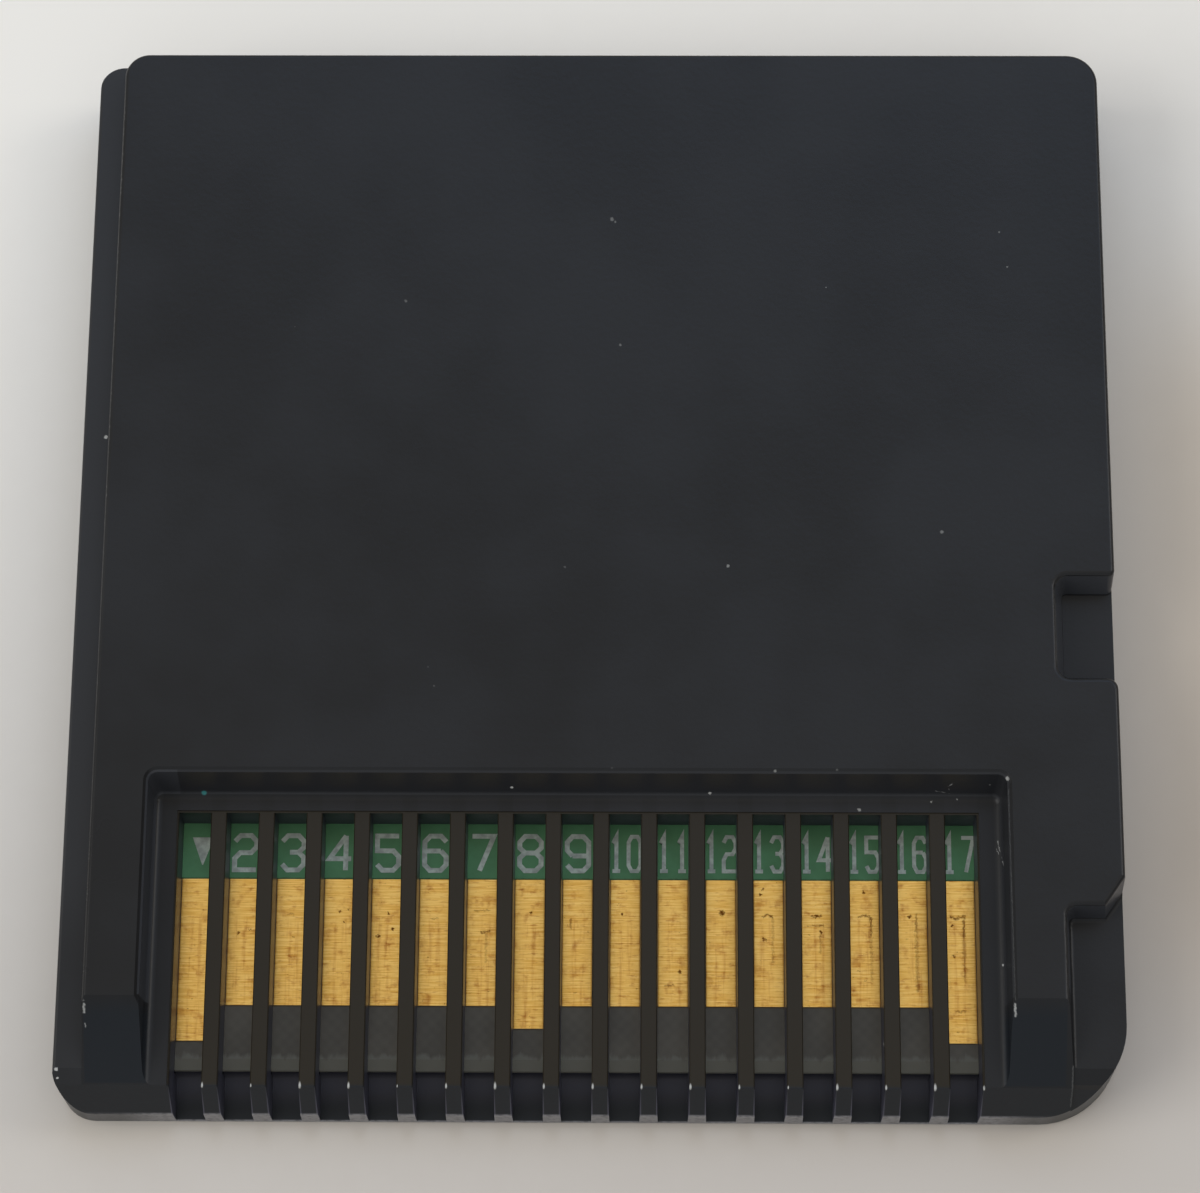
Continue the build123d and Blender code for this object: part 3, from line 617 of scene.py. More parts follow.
def grain_group(name):
    """Moulded grain: fine noise for the height, slow noise for the tone."""
    tree, nodes, given, out = new_group(name, {"Grain": 6000.0, "Flow": 160.0}, ("Height", "Tone"))
    at = nodes.place()
    nodes.put(out["Height"], nodes.noise(at, given["Grain"], detail=3.0, roughness=0.6))
    slow = nodes.noise(at, given["Flow"], detail=3.0, roughness=0.55)
    nodes.put(out["Tone"], nodes.ramp(slow, *FLOW_LIMITS))
    return tree


def dust_group(name):
    """Fine dust: a random share of small cells holds one ragged grain near its middle."""
    tree, nodes, given, out = new_group(name, {"Cells": 900.0, "Share": 0.2, "Size": 0.1}, ("Mask",))
    at = nodes.place()
    scale, reach = DUST_SHAKE
    ragged = nodes.add("ShaderNodeTexNoise", {"Vector": at, "Scale": scale, "Detail": 1.0})
    shift = nodes.vector("SCALE", ragged.outputs["Color"], reach)
    cells = nodes.add("ShaderNodeTexVoronoi", {
        "Vector": nodes.vector("ADD", at, shift), "Scale": given["Cells"]})
    red, green, _ = nodes.parts(cells.outputs["Color"])
    chosen = nodes.math("LESS_THAN", red, given["Share"])
    size = nodes.times(given["Size"], nodes.math("ADD", green, DUST_LEAST))
    near = nodes.math("LESS_THAN", cells.outputs["Distance"], size)
    nodes.put(out["Mask"], nodes.times(chosen, near))
    return tree


def streak_group(name):
    """Streaks: noise drawn out along one direction, cut off at a level."""
    inputs = {"Across X": 300.0, "Along Y": 9000.0, "Level": 0.6, "Softness": 0.08}
    tree, nodes, given, out = new_group(name, inputs, ("Mask", "Tone"))
    scale = nodes.add("ShaderNodeCombineXYZ", {
        "X": given["Across X"], "Y": given["Along Y"], "Z": 1.0})
    at = nodes.vector("MULTIPLY", nodes.place(), scale.outputs["Vector"])
    tone = nodes.noise(at, 1.0, detail=3.0, roughness=0.6)
    high = nodes.math("ADD", given["Level"], given["Softness"])
    nodes.put(out["Mask"], nodes.ramp(tone, given["Level"], high))
    nodes.put(out["Tone"], tone)
    return tree


def ragged_place(nodes, scale, reach):
    """Object coordinates shaken by fine noise, so that marks get ragged outlines."""
    at = nodes.place()
    noise = nodes.add("ShaderNodeTexNoise", {"Vector": at, "Scale": scale, "Detail": 2.0})
    shift = nodes.vector("SUBTRACT", noise.outputs["Color"], (0.5, 0.5, 0.5))
    return nodes.vector("ADD", at, nodes.vector("SCALE", shift, reach))


def near_points(nodes, at, marks, core=DOT_CORE):
    """A mask of round marks: the largest of their ramps from radius to core."""
    total = 0.0
    for place, radius, strength in marks:
        away = nodes.vector("DISTANCE", at, [v * MM for v in place], "Value")
        mask = nodes.ramp(away, radius * MM, radius * MM * core, 0.0, strength)
        total = nodes.math("MAXIMUM", mask, total)
    return total


def near_lines(nodes, at, lines):
    """A mask of short straight lines: the distance to the nearest point of each line."""
    total = 0.0
    for start, end, half_width, strength in lines:
        first = np.array(start, float) * MM
        line = np.array(end, float) * MM - first
        length = float(np.linalg.norm(line))
        ahead = list(line / length)
        step = nodes.vector("SUBTRACT", at, list(first))
        along = nodes.vector("DOT_PRODUCT", step, ahead, "Value")
        held = nodes.add("ShaderNodeClamp", {"Value": along, "Min": 0.0, "Max": length})
        foot = nodes.vector("SCALE", ahead, held.outputs["Result"])
        away = nodes.vector("DISTANCE", step, foot, "Value")
        outer, inner = (share * half_width * MM for share in LINE_EDGES)
        total = nodes.math("MAXIMUM", nodes.ramp(away, outer, inner, 0.0, strength), total)
    return total


def marks_group(name):
    """Single dust grains, hairlines and painted glints: nearness to points and to short straight lines.
    """
    tree, nodes, _, out = new_group(name, {}, ("Mask",))
    at = ragged_place(nodes, *SHELL_SHAKE)
    dots = near_points(nodes, at, DUST_MARKS_AND_GLINTS)
    nodes.put(out["Mask"], nodes.math("MAXIMUM", dots, near_lines(nodes, at, HAIRLINES_AND_GLINTS)))
    return tree


def gold_marks_group(name):
    """Single pits and scratches in the gold: nearness in plan to points and to straight lines."""
    tree, nodes, _, out = new_group(name, {}, ("Mask",))
    x, y, _ = nodes.parts(ragged_place(nodes, *GOLD_SHAKE))
    at = nodes.add("ShaderNodeCombineXYZ", {"X": x, "Y": y}).outputs["Vector"]
    dots = near_points(nodes, at, [((*pit[:2], 0.0), pit[2], 1.0) for pit in GOLD_PITS])
    scratches = [((*mark[:2], 0.0), (*mark[2:4], 0.0), *mark[4:]) for mark in GOLD_SCRATCHES]
    nodes.put(out["Mask"], nodes.math("MAXIMUM", dots, near_lines(nodes, at, scratches)))
    return tree


def new_material(name):
    """A material with one Principled shader: its helper, and the shader's sockets."""
    material = bpy.data.materials.new(name)
    material.use_nodes = True
    material.node_tree.nodes.clear()
    nodes = Nodes(material.node_tree)
    shader = nodes.add("ShaderNodeBsdfPrincipled")
    nodes.add("ShaderNodeOutputMaterial", {"Surface": shader.outputs["BSDF"]})
    return material, nodes, shader.inputs


def grained(nodes, kind):
    """The moulded grain in the scales of one finish."""
    fine, slow = FINISHES[kind][:2]
    return nodes.group(shared("moulded_grain", grain_group), grain=fine, flow=slow)


def bump(nodes, height, strength, depth):
    """A normal from a height."""
    node = nodes.add("ShaderNodeBump", {"Strength": strength, "Distance": depth, "Height": height})
    return node.outputs["Normal"]


def surface(nodes, shader, kind, rough, height):
    """Gives a shader the roughness and the relief of one finish, each by its own value."""
    strength, depth, smooth, dull = FINISHES[kind][2:]
    nodes.put(shader["Roughness"], nodes.ramp(rough, 0.0, 1.0, smooth, dull))
    nodes.put(shader["Normal"], bump(nodes, height, strength, depth))


def contact_number(nodes, x):
    """The number of the nearest contact, counted from 0, and the distance from its middle."""
    number = nodes.math("DIVIDE", nodes.math("SUBTRACT", x, CONTACT_MIDDLES[0]), CONTACT_PITCH)
    whole = nodes.math("FLOOR", nodes.math("ADD", number, 0.5))
    return whole, nodes.times(nodes.math("SUBTRACT", number, whole), CONTACT_PITCH)


def chance(nodes, number):
    """A random value from 0 to 1 that belongs to a whole number."""
    return nodes.add("ShaderNodeTexWhiteNoise", {"W": number}, noise_dimensions="1D").outputs["Value"]


def in_row(nodes, whole):
    """1 for the numbers of real contacts, 0 past either end of the row."""
    middle = (len(CONTACTS) - 1) / 2
    aside = nodes.math("ABSOLUTE", nodes.math("SUBTRACT", whole, middle))
    return nodes.math("LESS_THAN", aside, middle + 0.5)


def rubbed_corners(nodes):
    """Painted glints where the ribs' left edges meet the front slope, some larger than others."""
    x, y, z = nodes.parts(nodes.place())
    whole, off = contact_number(nodes, nodes.math("SUBTRACT", x, RIB_SIDE))
    step = nodes.add("ShaderNodeCombineXYZ", {
        "X": off,
        "Y": nodes.math("SUBTRACT", y, RIB_CORNER[0]),
        "Z": nodes.math("SUBTRACT", z, RIB_CORNER[1])})
    squeezed = nodes.vector("MULTIPLY", step.outputs["Vector"], RIB_GLINT_SQUEEZE)
    away = nodes.vector("LENGTH", squeezed, output="Value")
    small, large = RIB_GLINT_SIZES
    size = nodes.math("MULTIPLY_ADD", chance(nodes, whole), large - small, small)
    spots = nodes.ramp(away, size, nodes.times(size, RIB_GLINT_CORE))
    return nodes.times(spots, in_row(nodes, whole))


def wall_mask(nodes):
    """A mask of painted light inside the boxes around inner walls, as strong as each box says."""
    place = nodes.parts(nodes.place())
    total = 0.0
    for *limits, strength in PAINTED_WALL_LIGHT_BOXES.values():
        inside = strength
        for value, (low, high) in zip(place, limits):
            middle, reach = (low + high) / 2 * MM, (high - low) / 2 * MM
            inside = nodes.times(nodes.math("COMPARE", value, middle, reach), inside)
        total = nodes.math("MAXIMUM", inside, total)
    return total


def left_ledge(nodes):
    """A mask of painted light on the left ledge, lifting the shade from its step, weaker towards the
    front.
    """
    x, y, _ = nodes.parts(nodes.place())
    beside = nodes.ramp(x, LEFT_STEP, LEFT_STEP - LEDGE_EDGE)
    return nodes.times(beside, nodes.ramp(y, *LEDGE_FADE, *LEDGE_LIGHT_SHARES))


def slot_floor(nodes):
    """A mask of painted light low down in the slots of the comb."""
    x, y, z = nodes.parts(nodes.place())
    whole, off = contact_number(nodes, x)
    in_slot = nodes.math("LESS_THAN", nodes.math("ABSOLUTE", off), SLOT_HALF_WIDTH)
    in_comb = nodes.math("LESS_THAN", y, COMB_END)
    deep = nodes.times(nodes.ramp(z, *SLOT_BOTTOM), nodes.ramp(z, *SLOT_DEPTHS))
    return nodes.times(in_slot, in_row(nodes, whole), in_comb, deep)


def nose_slope(nodes):
    """A mask of a bluish painted reflection on the slopes in front: between the ledges above the
    window's floor, and past its end.
    """
    x, y, z = nodes.parts(nodes.place())
    left, right = NOSE_SIDES
    between = nodes.math("COMPARE", x, (left + right) / 2, (right - left) / 2)
    above = nodes.math("GREATER_THAN", z, WINDOW_FLOOR + LEVEL_SLACK)
    upper = nodes.times(between, above, nodes.ramp(y, *NOSE_FADE))
    return nodes.math("MAXIMUM", upper, nodes.math("LESS_THAN", y, RIB_CORNER[0]))


def rib_tops(nodes):
    """A mask of a painted reflection of the gold on the ribs' flat tops, from the comb's upper end to
    the front slope.
    """
    x, y, z = nodes.parts(nodes.place())
    level = nodes.math("COMPARE", z, RIB_CORNER[1], LEVEL_SLACK)
    row = in_row(nodes, contact_number(nodes, x)[0])
    return nodes.times(level, row, nodes.ramp(y, *RIB_TOP_FADE))


def front_wear(nodes, grain):
    """A patchy mask of the painted reflection on the front face, weaker past the ends of the row of
    contacts.
    """
    x, y, _ = nodes.parts(nodes.place())
    aside = nodes.math("ABSOLUTE", nodes.math("SUBTRACT", x, ROW_MIDDLE))
    fading = nodes.ramp(aside, ROW_REACH, ROW_REACH + FRONT_FADE, 1.0, FRONT_ENDS)
    return nodes.times(nodes.ramp(y, *FRONT_DEPTH), nodes.ramp(grain, *FRONT_PATCHES), fading)


def shell_colour(nodes, settings, grain):
    """The plastic's flow marks, with zones of painted light and of painted reflection laid over them,
    each over the ones before.
    """
    plain = nodes.blend(grain["Tone"], settings.colour, settings.pale)
    zones = (
        (left_ledge(nodes), settings.film),
        (nose_slope(nodes), settings.nose),
        (slot_floor(nodes), settings.deep),
        (rib_tops(nodes), settings.rib),
        (wall_mask(nodes), settings.wall),
        (front_wear(nodes, grain["Height"]), settings.rubbed),
    )
    for mask, tone in zones:
        plain = nodes.blend(mask, plain, tone)
    return plain


def shell_plastic(settings):
    """Dark moulded plastic: satin outside, a little duller in the window, with dust, scratches, painted
    glints and zones of painted light and reflection.
    """
    material, nodes, shader = new_material("shell_plastic")
    shader["Specular IOR Level"].default_value = settings.gloss
    at = nodes.place()
    grain = grained(nodes, "shell")
    dust = nodes.group(
        shared("fine_dust", dust_group), cells=DUST_CELLS, share=DUST_SHARE, size=DUST_SIZE)["Mask"]
    # Dust specks, hairline scratches, and painted glints and highlight lines on edges
    marks = nodes.group(shared("card_marks", marks_group))["Mask"]
    plain = shell_colour(nodes, settings, grain)
    dusty = nodes.blend(nodes.times(dust, DUST_STRENGTH), plain, settings.dust)
    # Painted glints at the rib corners, laid on in the dust colour with the marks
    marked_and_glinting = nodes.blend(nodes.math("MAXIMUM", marks, rubbed_corners(nodes)), dusty, settings.dust)
    fleck = near_points(nodes, at, (FLECK,), FLECK_CORE)
    nodes.put(shader["Base Color"], nodes.blend(fleck, marked_and_glinting, settings.fleck))
    rough = nodes.ramp(nodes.parts(at)[2], *ROUGH_HEIGHTS, settings.inner, settings.satin)
    rough = nodes.math("MULTIPLY_ADD", grain["Tone"], FLOW_ROUGHNESS, rough)
    nodes.put(shader["Roughness"], nodes.math("MULTIPLY_ADD", marks, MARK_ROUGHNESS, rough))
    nodes.put(shader["Normal"], bump(nodes, grain["Height"], *FINISHES["shell"][2:]))
    return material


def bare_laminate(settings):
    """Bare woven laminate with a frayed bevel at the contact edge."""
    material, nodes, shader = new_material("laminate")
    x, y, _ = nodes.parts(nodes.place())
    grain = grained(nodes, "laminate")
    waves = [
        nodes.math("SINE", nodes.times(value, 2 * math.pi / WEAVE_PITCH)) for value in (x, y)
    ]
    weave = nodes.times(*waves)
    tone = nodes.math("MULTIPLY_ADD", weave, WEAVE_TONE, grain["Tone"], clamp=True)
    darker = [v * LAMINATE_DARK for v in settings.laminate]
    plain = nodes.blend(tone, darker, settings.laminate)
    across, along = FRAY_SCALES
    fibres = nodes.group(shared("streaks", streak_group), across_x=across, along_y=along)["Tone"]
    frayed = nodes.ramp(nodes.math("MULTIPLY_ADD", fibres, -FRAY_REACH, y), *FRAYED_EDGE)
    nodes.put(shader["Base Color"], nodes.blend(frayed, plain, settings.frayed))
    height = nodes.math("MULTIPLY_ADD", weave, WEAVE_HEIGHT, grain["Height"])
    surface(nodes, shader, "laminate", frayed, height)
    return material


def green_lacquer(settings):
    """Green lacquer over copper, a little uneven, with a dark edge at the contacts."""
    material, nodes, shader = new_material("green_mask")
    shader["Specular IOR Level"].default_value = LACQUER_GLOSS
    grain = grained(nodes, "lacquer")
    plain = nodes.blend(grain["Tone"], settings.lacquer, settings.lacquer_pale)
    along = nodes.parts(nodes.place())[1]
    edge = nodes.math("MULTIPLY_ADD", grain["Height"], -LACQUER_RAGGED, along)
    dark = nodes.ramp(edge, *LACQUER_EDGE, 0.0, LACQUER_EDGE_SHARE)
    nodes.put(shader["Base Color"], nodes.blend(dark, plain, LACQUER_EDGE_COLOUR))
    surface(nodes, shader, "lacquer", grain["Tone"], grain["Tone"])
    return material


def rub_tracks(nodes, along, whole, off):
    """Two lengthwise tracks on each contact, to either side of a random middle."""
    middle = nodes.math("MULTIPLY_ADD", chance(nodes, whole), 2 * TRACK_SHIFT, -TRACK_SHIFT)
    aside = nodes.math("ABSOLUTE", nodes.math("SUBTRACT", off, middle))
    away = nodes.math("ABSOLUTE", nodes.math("SUBTRACT", aside, TRACK_ASIDE))
    return nodes.times(nodes.ramp(away, *TRACK_WIDTHS), nodes.ramp(along, *TRACK_START))


def weighted(nodes, masks, weights):
    """The sum of some masks, each times its weight, held at 1."""
    total = 0.0
    for name, weight in weights.items():
        total = nodes.math("MULTIPLY_ADD", masks[name], weight, total, clamp=True)
    return total


def gold_streaks(nodes):
    """Each kind of streak in the gold, by its name."""
    names = ("across_x", "along_y", "level", "softness")
    group = shared("streaks", streak_group)
    return {
        kind: nodes.group(group, **dict(zip(names, numbers))) for kind, numbers in GOLD_STREAKS.items()
    }


def worn_gold(settings):
    """Gold plate with cross-wise brush lines, lengthwise rub tracks, pits, scratches, and dark rims of
    painted shade along its sides.
    """
    material, nodes, shader = new_material("gold_plate")
    shader["Metallic"].default_value = 1.0
    x, y, _ = nodes.parts(nodes.place())
    whole, off = contact_number(nodes, x)
    streaks = gold_streaks(nodes)
    grain = grained(nodes, "gold")
    marks = nodes.group(shared("gold_marks", gold_marks_group))["Mask"]
    masks = {kind: streak["Mask"] for kind, streak in streaks.items()}
    masks["marks"] = nodes.times(marks, nodes.ramp(grain["Height"], *MARK_PATCHES))
    masks["track"] = nodes.times(rub_tracks(nodes, y, whole, off), masks["rubs"])
    masks["rim"] = nodes.ramp(
        nodes.math("ABSOLUTE", off), CONTACT_HALF_WIDTH - GOLD_SHADE_RIM, CONTACT_HALF_WIDTH)
    stain = weighted(nodes, masks, STAIN_WEIGHTS)
    dark = weighted(nodes, masks, TARNISH_WEIGHTS)
    worn = nodes.math("ADD", stain, dark, clamp=True)
    dimmed = nodes.ramp(streaks["lines"]["Tone"], *BRUSHED_TONES)
    brushed = nodes.blend(dimmed, settings.gold, settings.gold_dim)
    stained = nodes.blend(stain, brushed, settings.stain)
    nodes.put(shader["Base Color"], nodes.blend(dark, stained, settings.tarnish))
    surface(nodes, shader, "gold", worn, nodes.math("SUBTRACT", grain["Height"], worn))
    return material


def plain_finish(name, kind, tones, source):
    """A plain grained finish: two tones by the slow noise, roughness and relief by one of the two."""
    material, nodes, shader = new_material(name)
    grain = grained(nodes, kind)
    nodes.put(shader["Base Color"], nodes.blend(grain["Tone"], *tones))
    surface(nodes, shader, kind, grain[source], grain[source])
    return material, shader


def chip_resin():
    """Black moulded chip resin with a fine sandy grain."""
    return plain_finish("chip_resin", "resin", RESIN_TONES, "Height")[0]


def tinned_metal():
    """Dull tin plate with flow marks."""
    material, shader = plain_finish("tinned_metal", "tin", TIN_TONES, "Tone")
    shader["Metallic"].default_value = 1.0
    return material


def fired_ceramic():
    """Brown fired ceramic with a faint speckle."""
    return plain_finish("capacitor_ceramic", "ceramic", CERAMIC_TONES, "Height")[0]


def legend_ink(settings):
    """Pale screen-printed ink, a little thin in places."""
    thin = [INK_THIN * v for v in settings.colour]
    return plain_finish("legend_ink", "ink", (thin, settings.colour), "Height")[0]


def table_top(settings):
    """Pale matt table with painted shade, darker towards the front and the right, and a warm painted
    shadow to the right of the card; seen from above only.
    """
    material, nodes, shader = new_material("table_top")
    shader["Roughness"].default_value = TABLE_ROUGHNESS
    at = nodes.place()
    grain = nodes.noise(at, TABLE_GRAIN, detail=4.0, roughness=0.6)
    x, y, _ = nodes.parts(at)
    across, along = SHADE_LEAN
    aside = nodes.math("SUBTRACT", nodes.times(x, across), nodes.times(y, along))
    aside = nodes.math("MULTIPLY_ADD", grain, SHADE_SHAKE, aside)
    shaded = nodes.ramp(aside, *SHADE_LIMITS, smooth=False)
    tinted = nodes.blend(shaded, settings.floor, settings.shade)
    # The card's painted shadow on the table to its right
    right = nodes.times(
        nodes.ramp(x, *SHADOW_PATCH_RISE), nodes.ramp(x, *SHADOW_PATCH_FALL), nodes.band(y, *SHADOW_PATCH_BAND))
    nodes.put(shader["Base Color"], nodes.blend(right, tinted, settings.warm, "MULTIPLY"))
    nodes.put(shader["Normal"], bump(nodes, grain, *TABLE_RELIEF))
    below = nodes.add("ShaderNodeNewGeometry").outputs["Backfacing"]
    clear = nodes.add("ShaderNodeBsdfTransparent")
    above = shader["Base Color"].node.outputs["BSDF"]
    mixed = nodes.add("ShaderNodeMixShader")
    for socket, value in zip(mixed.inputs, (below, above, clear.outputs["BSDF"])):
        nodes.put(socket, value)
    output = next(n for n in nodes.tree.nodes if n.type == "OUTPUT_MATERIAL")
    nodes.put(output.inputs["Surface"], mixed.outputs["Shader"])
    return material


def dress(names, material):
    """Gives CAD nodes one material and nothing else."""
    for name in names:
        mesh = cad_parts[name].data
        mesh.materials.clear()
        mesh.materials.append(material)


def piece_from(name, points, faces, material):
    """A new piece from arrays of points and faces, riding on the card."""
    mesh = bpy.data.meshes.new(name)
    mesh.from_pydata(points.tolist(), [], faces)
    mesh.materials.append(material)
    piece = bpy.data.objects.new(name, mesh)
    bpy.context.scene.collection.objects.link(piece)
    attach(piece, BODY)


def stroke_solid(path, widths, low, high, closed):
    """A flat stroke: a path with its two sides set off along the mitre of each corner.

    Each corner's side step is the sum of the two neighbouring unit normals, divided by one plus
    their product, times half the width. The rectangle between the sides and the two heights is
    carried along the path, and the ends of an open path are capped.
    """
    path = np.asarray(path, float)
    ahead = np.roll(path, -1, axis=0) - path
    if not closed:
        ahead[-1] = ahead[-2]
    ahead /= np.linalg.norm(ahead, axis=1, keepdims=True)
    behind = np.roll(ahead, 1, axis=0)
    if not closed:
        behind[0] = ahead[0]
    turn = np.array([[0.0, 1.0], [-1.0, 0.0]])
    after, before = ahead @ turn, behind @ turn
    share = 1.0 + np.sum(after * before, axis=1, keepdims=True)
    half_widths = np.broadcast_to(np.asarray(widths, float), len(path))[:, None] / 2
    step = (after + before) / share * half_widths
    sides = [(path + step, low), (path - step, low), (path - step, high), (path + step, high)]
    points = np.stack([np.column_stack([p, np.full(len(p), z)]) for p, z in sides], axis=1)
    count = len(path)
    row = np.arange(count if closed else count - 1)
    after_row = (row + 1) % count
    faces = [
        np.column_stack([row * 4 + a, row * 4 + b, after_row * 4 + b, after_row * 4 + a])
        for a, b in ((0, 1), (1, 2), (2, 3), (3, 0))
    ]
    faces = np.concatenate(faces)
    if not closed:
        last = (count - 1) * 4
        caps = np.array([[3, 2, 1, 0], [last, last + 1, last + 2, last + 3]])
        faces = np.concatenate([faces, caps])
    return points.reshape(-1, 3), faces


def joined(solids):
    """Several (points, faces) sets as one."""
    points, faces, count = [], [], 0
    for some_points, some_faces in solids:
        points.append(some_points)
        faces.append(some_faces + count)
        count += len(some_points)
    return np.concatenate(points), np.concatenate(faces).tolist()


def number_solids(number, middle, base, legend):
    """The strokes of one contact number, centred over its contact."""
    text = str(number)
    width = legend.width if len(text) == 1 else legend.width * PAIR_WIDTH
    stroke = legend.stroke if len(text) == 1 else legend.stroke * PAIR_STROKE
    spacing = width + PAIR_STEP * stroke
    scale = np.array([width / DIGIT_FIELD[0], legend.height / DIGIT_FIELD[1]])
    solids = []
    for place, digit in enumerate(text):
        left = middle - width / 2 + (place - (len(text) - 1) / 2) * spacing
        for layer, points in enumerate(DIGIT_STROKES[digit]):
            closed = points[0] == points[-1]
            path = np.array(points[:-1] if closed else points, float) * scale + (left, base)
            high = MASK_TOP + legend.thickness + layer * CROSSING_RISE * legend.thickness
            solids.append(stroke_solid(path, stroke, MASK_TOP, high, closed))
    return solids


class CARD_OT_shells(bpy.types.Operator):
    """Gives both moulded halves their dark plastic"""
    bl_idname = "card.shells"
    bl_label = "Shells"

    def execute(self, context):
        dress(("front_shell", "back_shell"), shell_plastic(context.scene.card_shell))
        return {"FINISHED"}


class CARD_OT_board(bpy.types.Operator):
    """Gives the circuit board its laminate and its lacquer"""
    bl_idname = "card.board"
    bl_label = "Board"

    def execute(self, context):
        settings = context.scene.card_board
        dress(("circuit_board",), bare_laminate(settings))
        dress(("solder_mask",), green_lacquer(settings))
        return {"FINISHED"}


class CARD_OT_contacts(bpy.types.Operator):
    """Gives the contacts their worn gold plate"""
    bl_idname = "card.contacts"
    bl_label = "Contacts"

    def execute(self, context):
        dress(CONTACTS, worn_gold(context.scene.card_board))
        return {"FINISHED"}


class CARD_OT_chips(bpy.types.Operator):
    """Finishes the chips and small parts on the board"""
    bl_idname = "card.chips"
    bl_label = "Chips"

    def execute(self, context):
        dress(("memory_chip", "save_chip", "resistor_1", "resistor_2"), chip_resin())
        dress(("memory_chip_leads", "save_chip_leads", "chip_part_terminals"), tinned_metal())
        dress(("capacitor_1", "capacitor_2"), fired_ceramic())
        return {"FINISHED"}


class CARD_OT_legend(bpy.types.Operator):
    """Prints plain contact numbers and a mark for the first contact on the lacquer"""
    bl_idname = "card.legend"
    bl_label = "Contact numbers"

    def execute(self, context):
        legend = context.scene.card_legend
        ink = legend_ink(legend)
        base = CONTACT_TOP + legend.gap
        solids = []
        for number, middle in enumerate(CONTACT_MIDDLES[1:], 2):
            solids += number_solids(number, middle, base, legend)
        points, faces = joined(solids)
        piece_from("contact_numbers", points, faces, ink)
        middle = CONTACT_MIDDLES[0] + legend.mark_shift
        path = [(middle, base + share * legend.height) for share in MARK_ENDS]
        widths = (legend.width, MARK_TIP * legend.width)
        points, faces = stroke_solid(path, widths, MASK_TOP, MASK_TOP + legend.thickness, False)
        piece_from("first_contact_mark", points, faces.tolist(), ink)
        return {"FINISHED"}


def floor_mesh(radius, material):
    """A round floor: radius times the ring's share, turned by the angle, on a grid of both.

    It lies a hair below the card, so that the card's underside stays in front of it from below.
    """
    rings, turns = FLOOR_RINGS, FLOOR_TURNS
    share = np.linspace(FLOOR_HUB, 1.0, rings)[:, None] * radius
    angle = np.linspace(0.0, 2 * math.pi, turns, endpoint=False)[None, :]
    level = np.full((rings, turns), -FLOOR_DROP)
    points = np.stack([share * np.cos(angle), share * np.sin(angle), level], axis=-1)
    ring = np.arange(rings - 1)[:, None] * turns
    turn = np.arange(turns)[None, :]
    after = (turn + 1) % turns
    quads = np.stack([ring + turn, ring + turns + turn, ring + turns + after, ring + after], axis=-1)
    faces = quads.reshape(-1, 4).tolist() + [list(range(turns))]
    mesh = bpy.data.meshes.new("table")
    mesh.from_pydata(points.reshape(-1, 3).tolist(), [], faces)
    mesh.materials.append(material)
    return bpy.data.objects.new("table", mesh)


def soft_light(name, place, side, power, tint):
    """A square soft light that points at the card."""
    lamp = bpy.data.lights.new(name, "AREA")
    lamp.shape = "RECTANGLE"
    lamp.size = lamp.size_y = side
    lamp.energy = power
    lamp.color = tint
    light = bpy.data.objects.new(name, lamp)
    bpy.context.scene.collection.objects.link(light)
    direction = -np.array(place)
    light.location = place
    light.rotation_euler = Vector(direction).to_track_quat("-Z", "Y").to_euler()


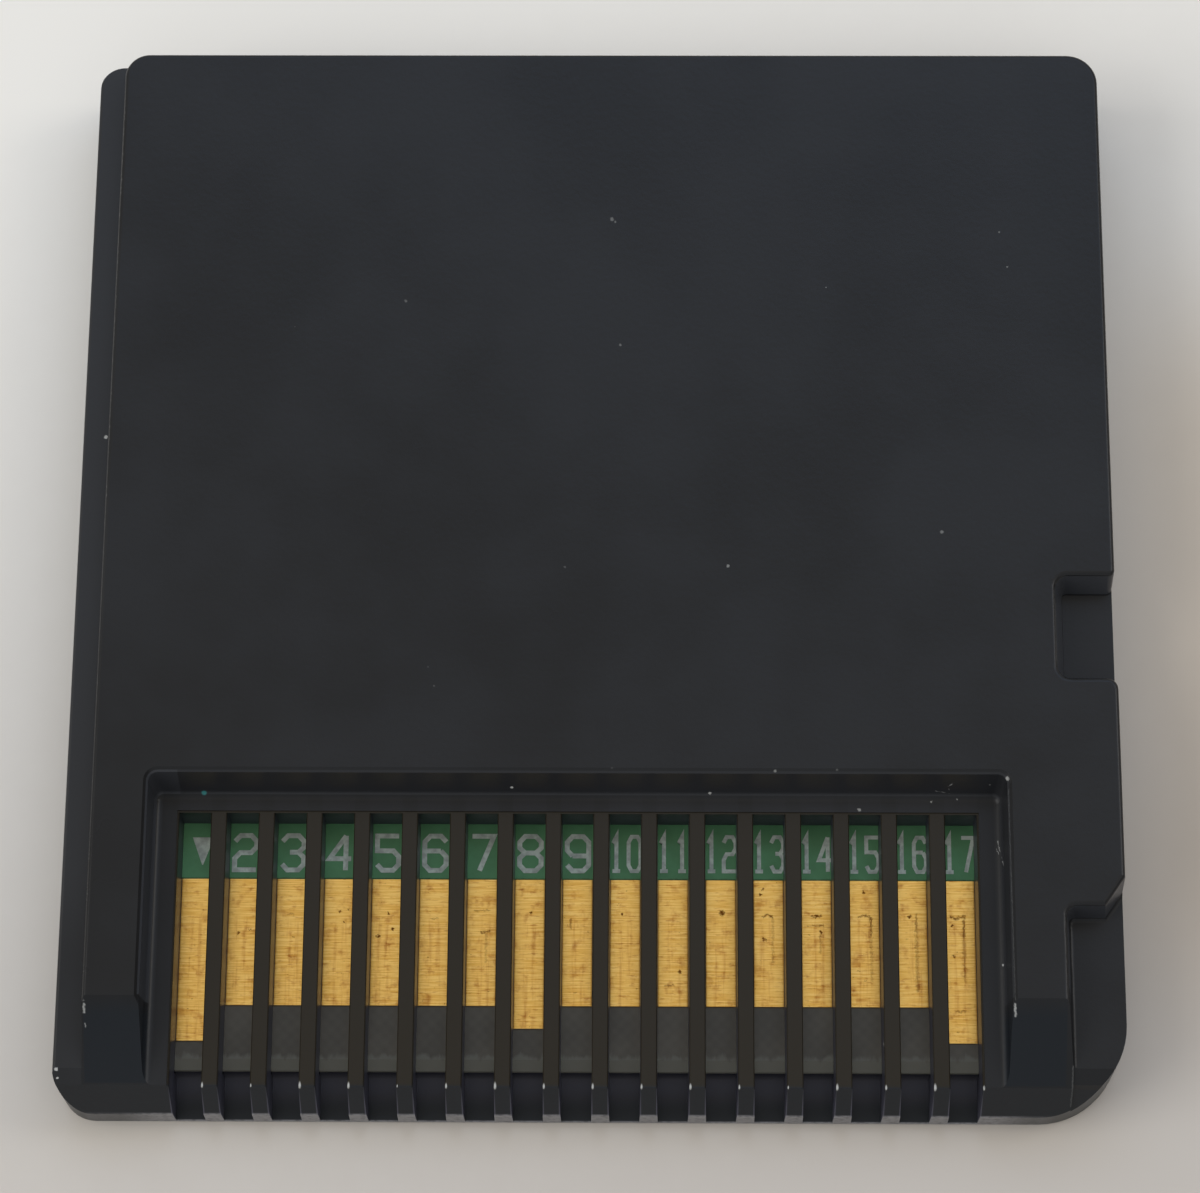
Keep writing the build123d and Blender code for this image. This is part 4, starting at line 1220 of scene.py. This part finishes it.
def room_light(scene, settings):
    """Light from the room: bright overhead, bluish at the back, dimmer at the front and the right."""
    world = bpy.data.worlds.new("room")
    world.use_nodes = True
    world.node_tree.nodes.clear()
    nodes = Nodes(world.node_tree)
    toward = nodes.add("ShaderNodeTexCoord").outputs["Generated"]
    height = nodes.parts(toward)[2]
    tone = settings.walls
    for name, direction, reach, heights in ROOM_LIGHTS:
        share = nodes.ramp(nodes.vector("DOT_PRODUCT", toward, direction, "Value"), *reach)
        if heights:
            share = nodes.times(share, nodes.ramp(height, *heights))
        tone = nodes.blend(share, tone, getattr(settings, name))
    sky = nodes.add("ShaderNodeBackground", {"Color": tone, "Strength": 1.0})
    nodes.add("ShaderNodeOutputWorld", {"Surface": sky.outputs["Background"]})
    scene.world = world


class CARD_OT_stage(bpy.types.Operator):
    """Sets the floor, the light and the camera"""
    bl_idname = "card.stage"
    bl_label = "Stage"

    def execute(self, context):
        scene = context.scene
        settings = scene.card_stage
        floor = floor_mesh(settings.floor_radius, table_top(settings))
        scene.collection.objects.link(floor)
        room_light(scene, settings)
        for name, light in SOFT_LIGHTS.items():
            soft_light(name, *light)
        data = bpy.data.cameras.new("camera")
        data.lens = settings.lens
        data.sensor_width = SENSOR_WIDTH
        data.clip_start, data.clip_end = CLIP_RANGE
        camera = bpy.data.objects.new("camera", data)
        camera.location = settings.camera_place
        camera.rotation_euler = settings.camera_turn
        scene.collection.objects.link(camera)
        scene.camera = camera
        scene.view_settings.view_transform = "Standard"
        return {"FINISHED"}


OPERATORS = (
    CARD_OT_shells, CARD_OT_board, CARD_OT_contacts, CARD_OT_chips, CARD_OT_legend, CARD_OT_stage,
)


class CARD_PT_finish(bpy.types.Panel):
    """Lists the steps and settings of the card's finish"""
    bl_idname = "CARD_PT_finish"
    bl_label = "Memory card"
    bl_space_type = "VIEW_3D"
    bl_region_type = "UI"
    bl_category = "Card"

    def draw(self, context):
        for operator in OPERATORS:
            self.layout.operator(operator.bl_idname)
        for name, kind in SETTINGS.items():
            box = self.layout.box()
            for field in kind.__annotations__:
                box.prop(getattr(context.scene, name), field)


CLASSES = (*SETTINGS.values(), *OPERATORS, CARD_PT_finish)


def register():
    for kind in CLASSES:
        bpy.utils.register_class(kind)
    for name, kind in SETTINGS.items():
        setattr(bpy.types.Scene, name, PointerProperty(type=kind))


def unregister():
    for name in SETTINGS:
        delattr(bpy.types.Scene, name)
    for kind in reversed(CLASSES):
        bpy.utils.unregister_class(kind)


def main():
    register()
    bpy.ops.card.shells()
    bpy.ops.card.board()
    bpy.ops.card.contacts()
    bpy.ops.card.chips()
    bpy.ops.card.legend()
    bpy.ops.card.stage()


if __name__ == "__main__":
    main()
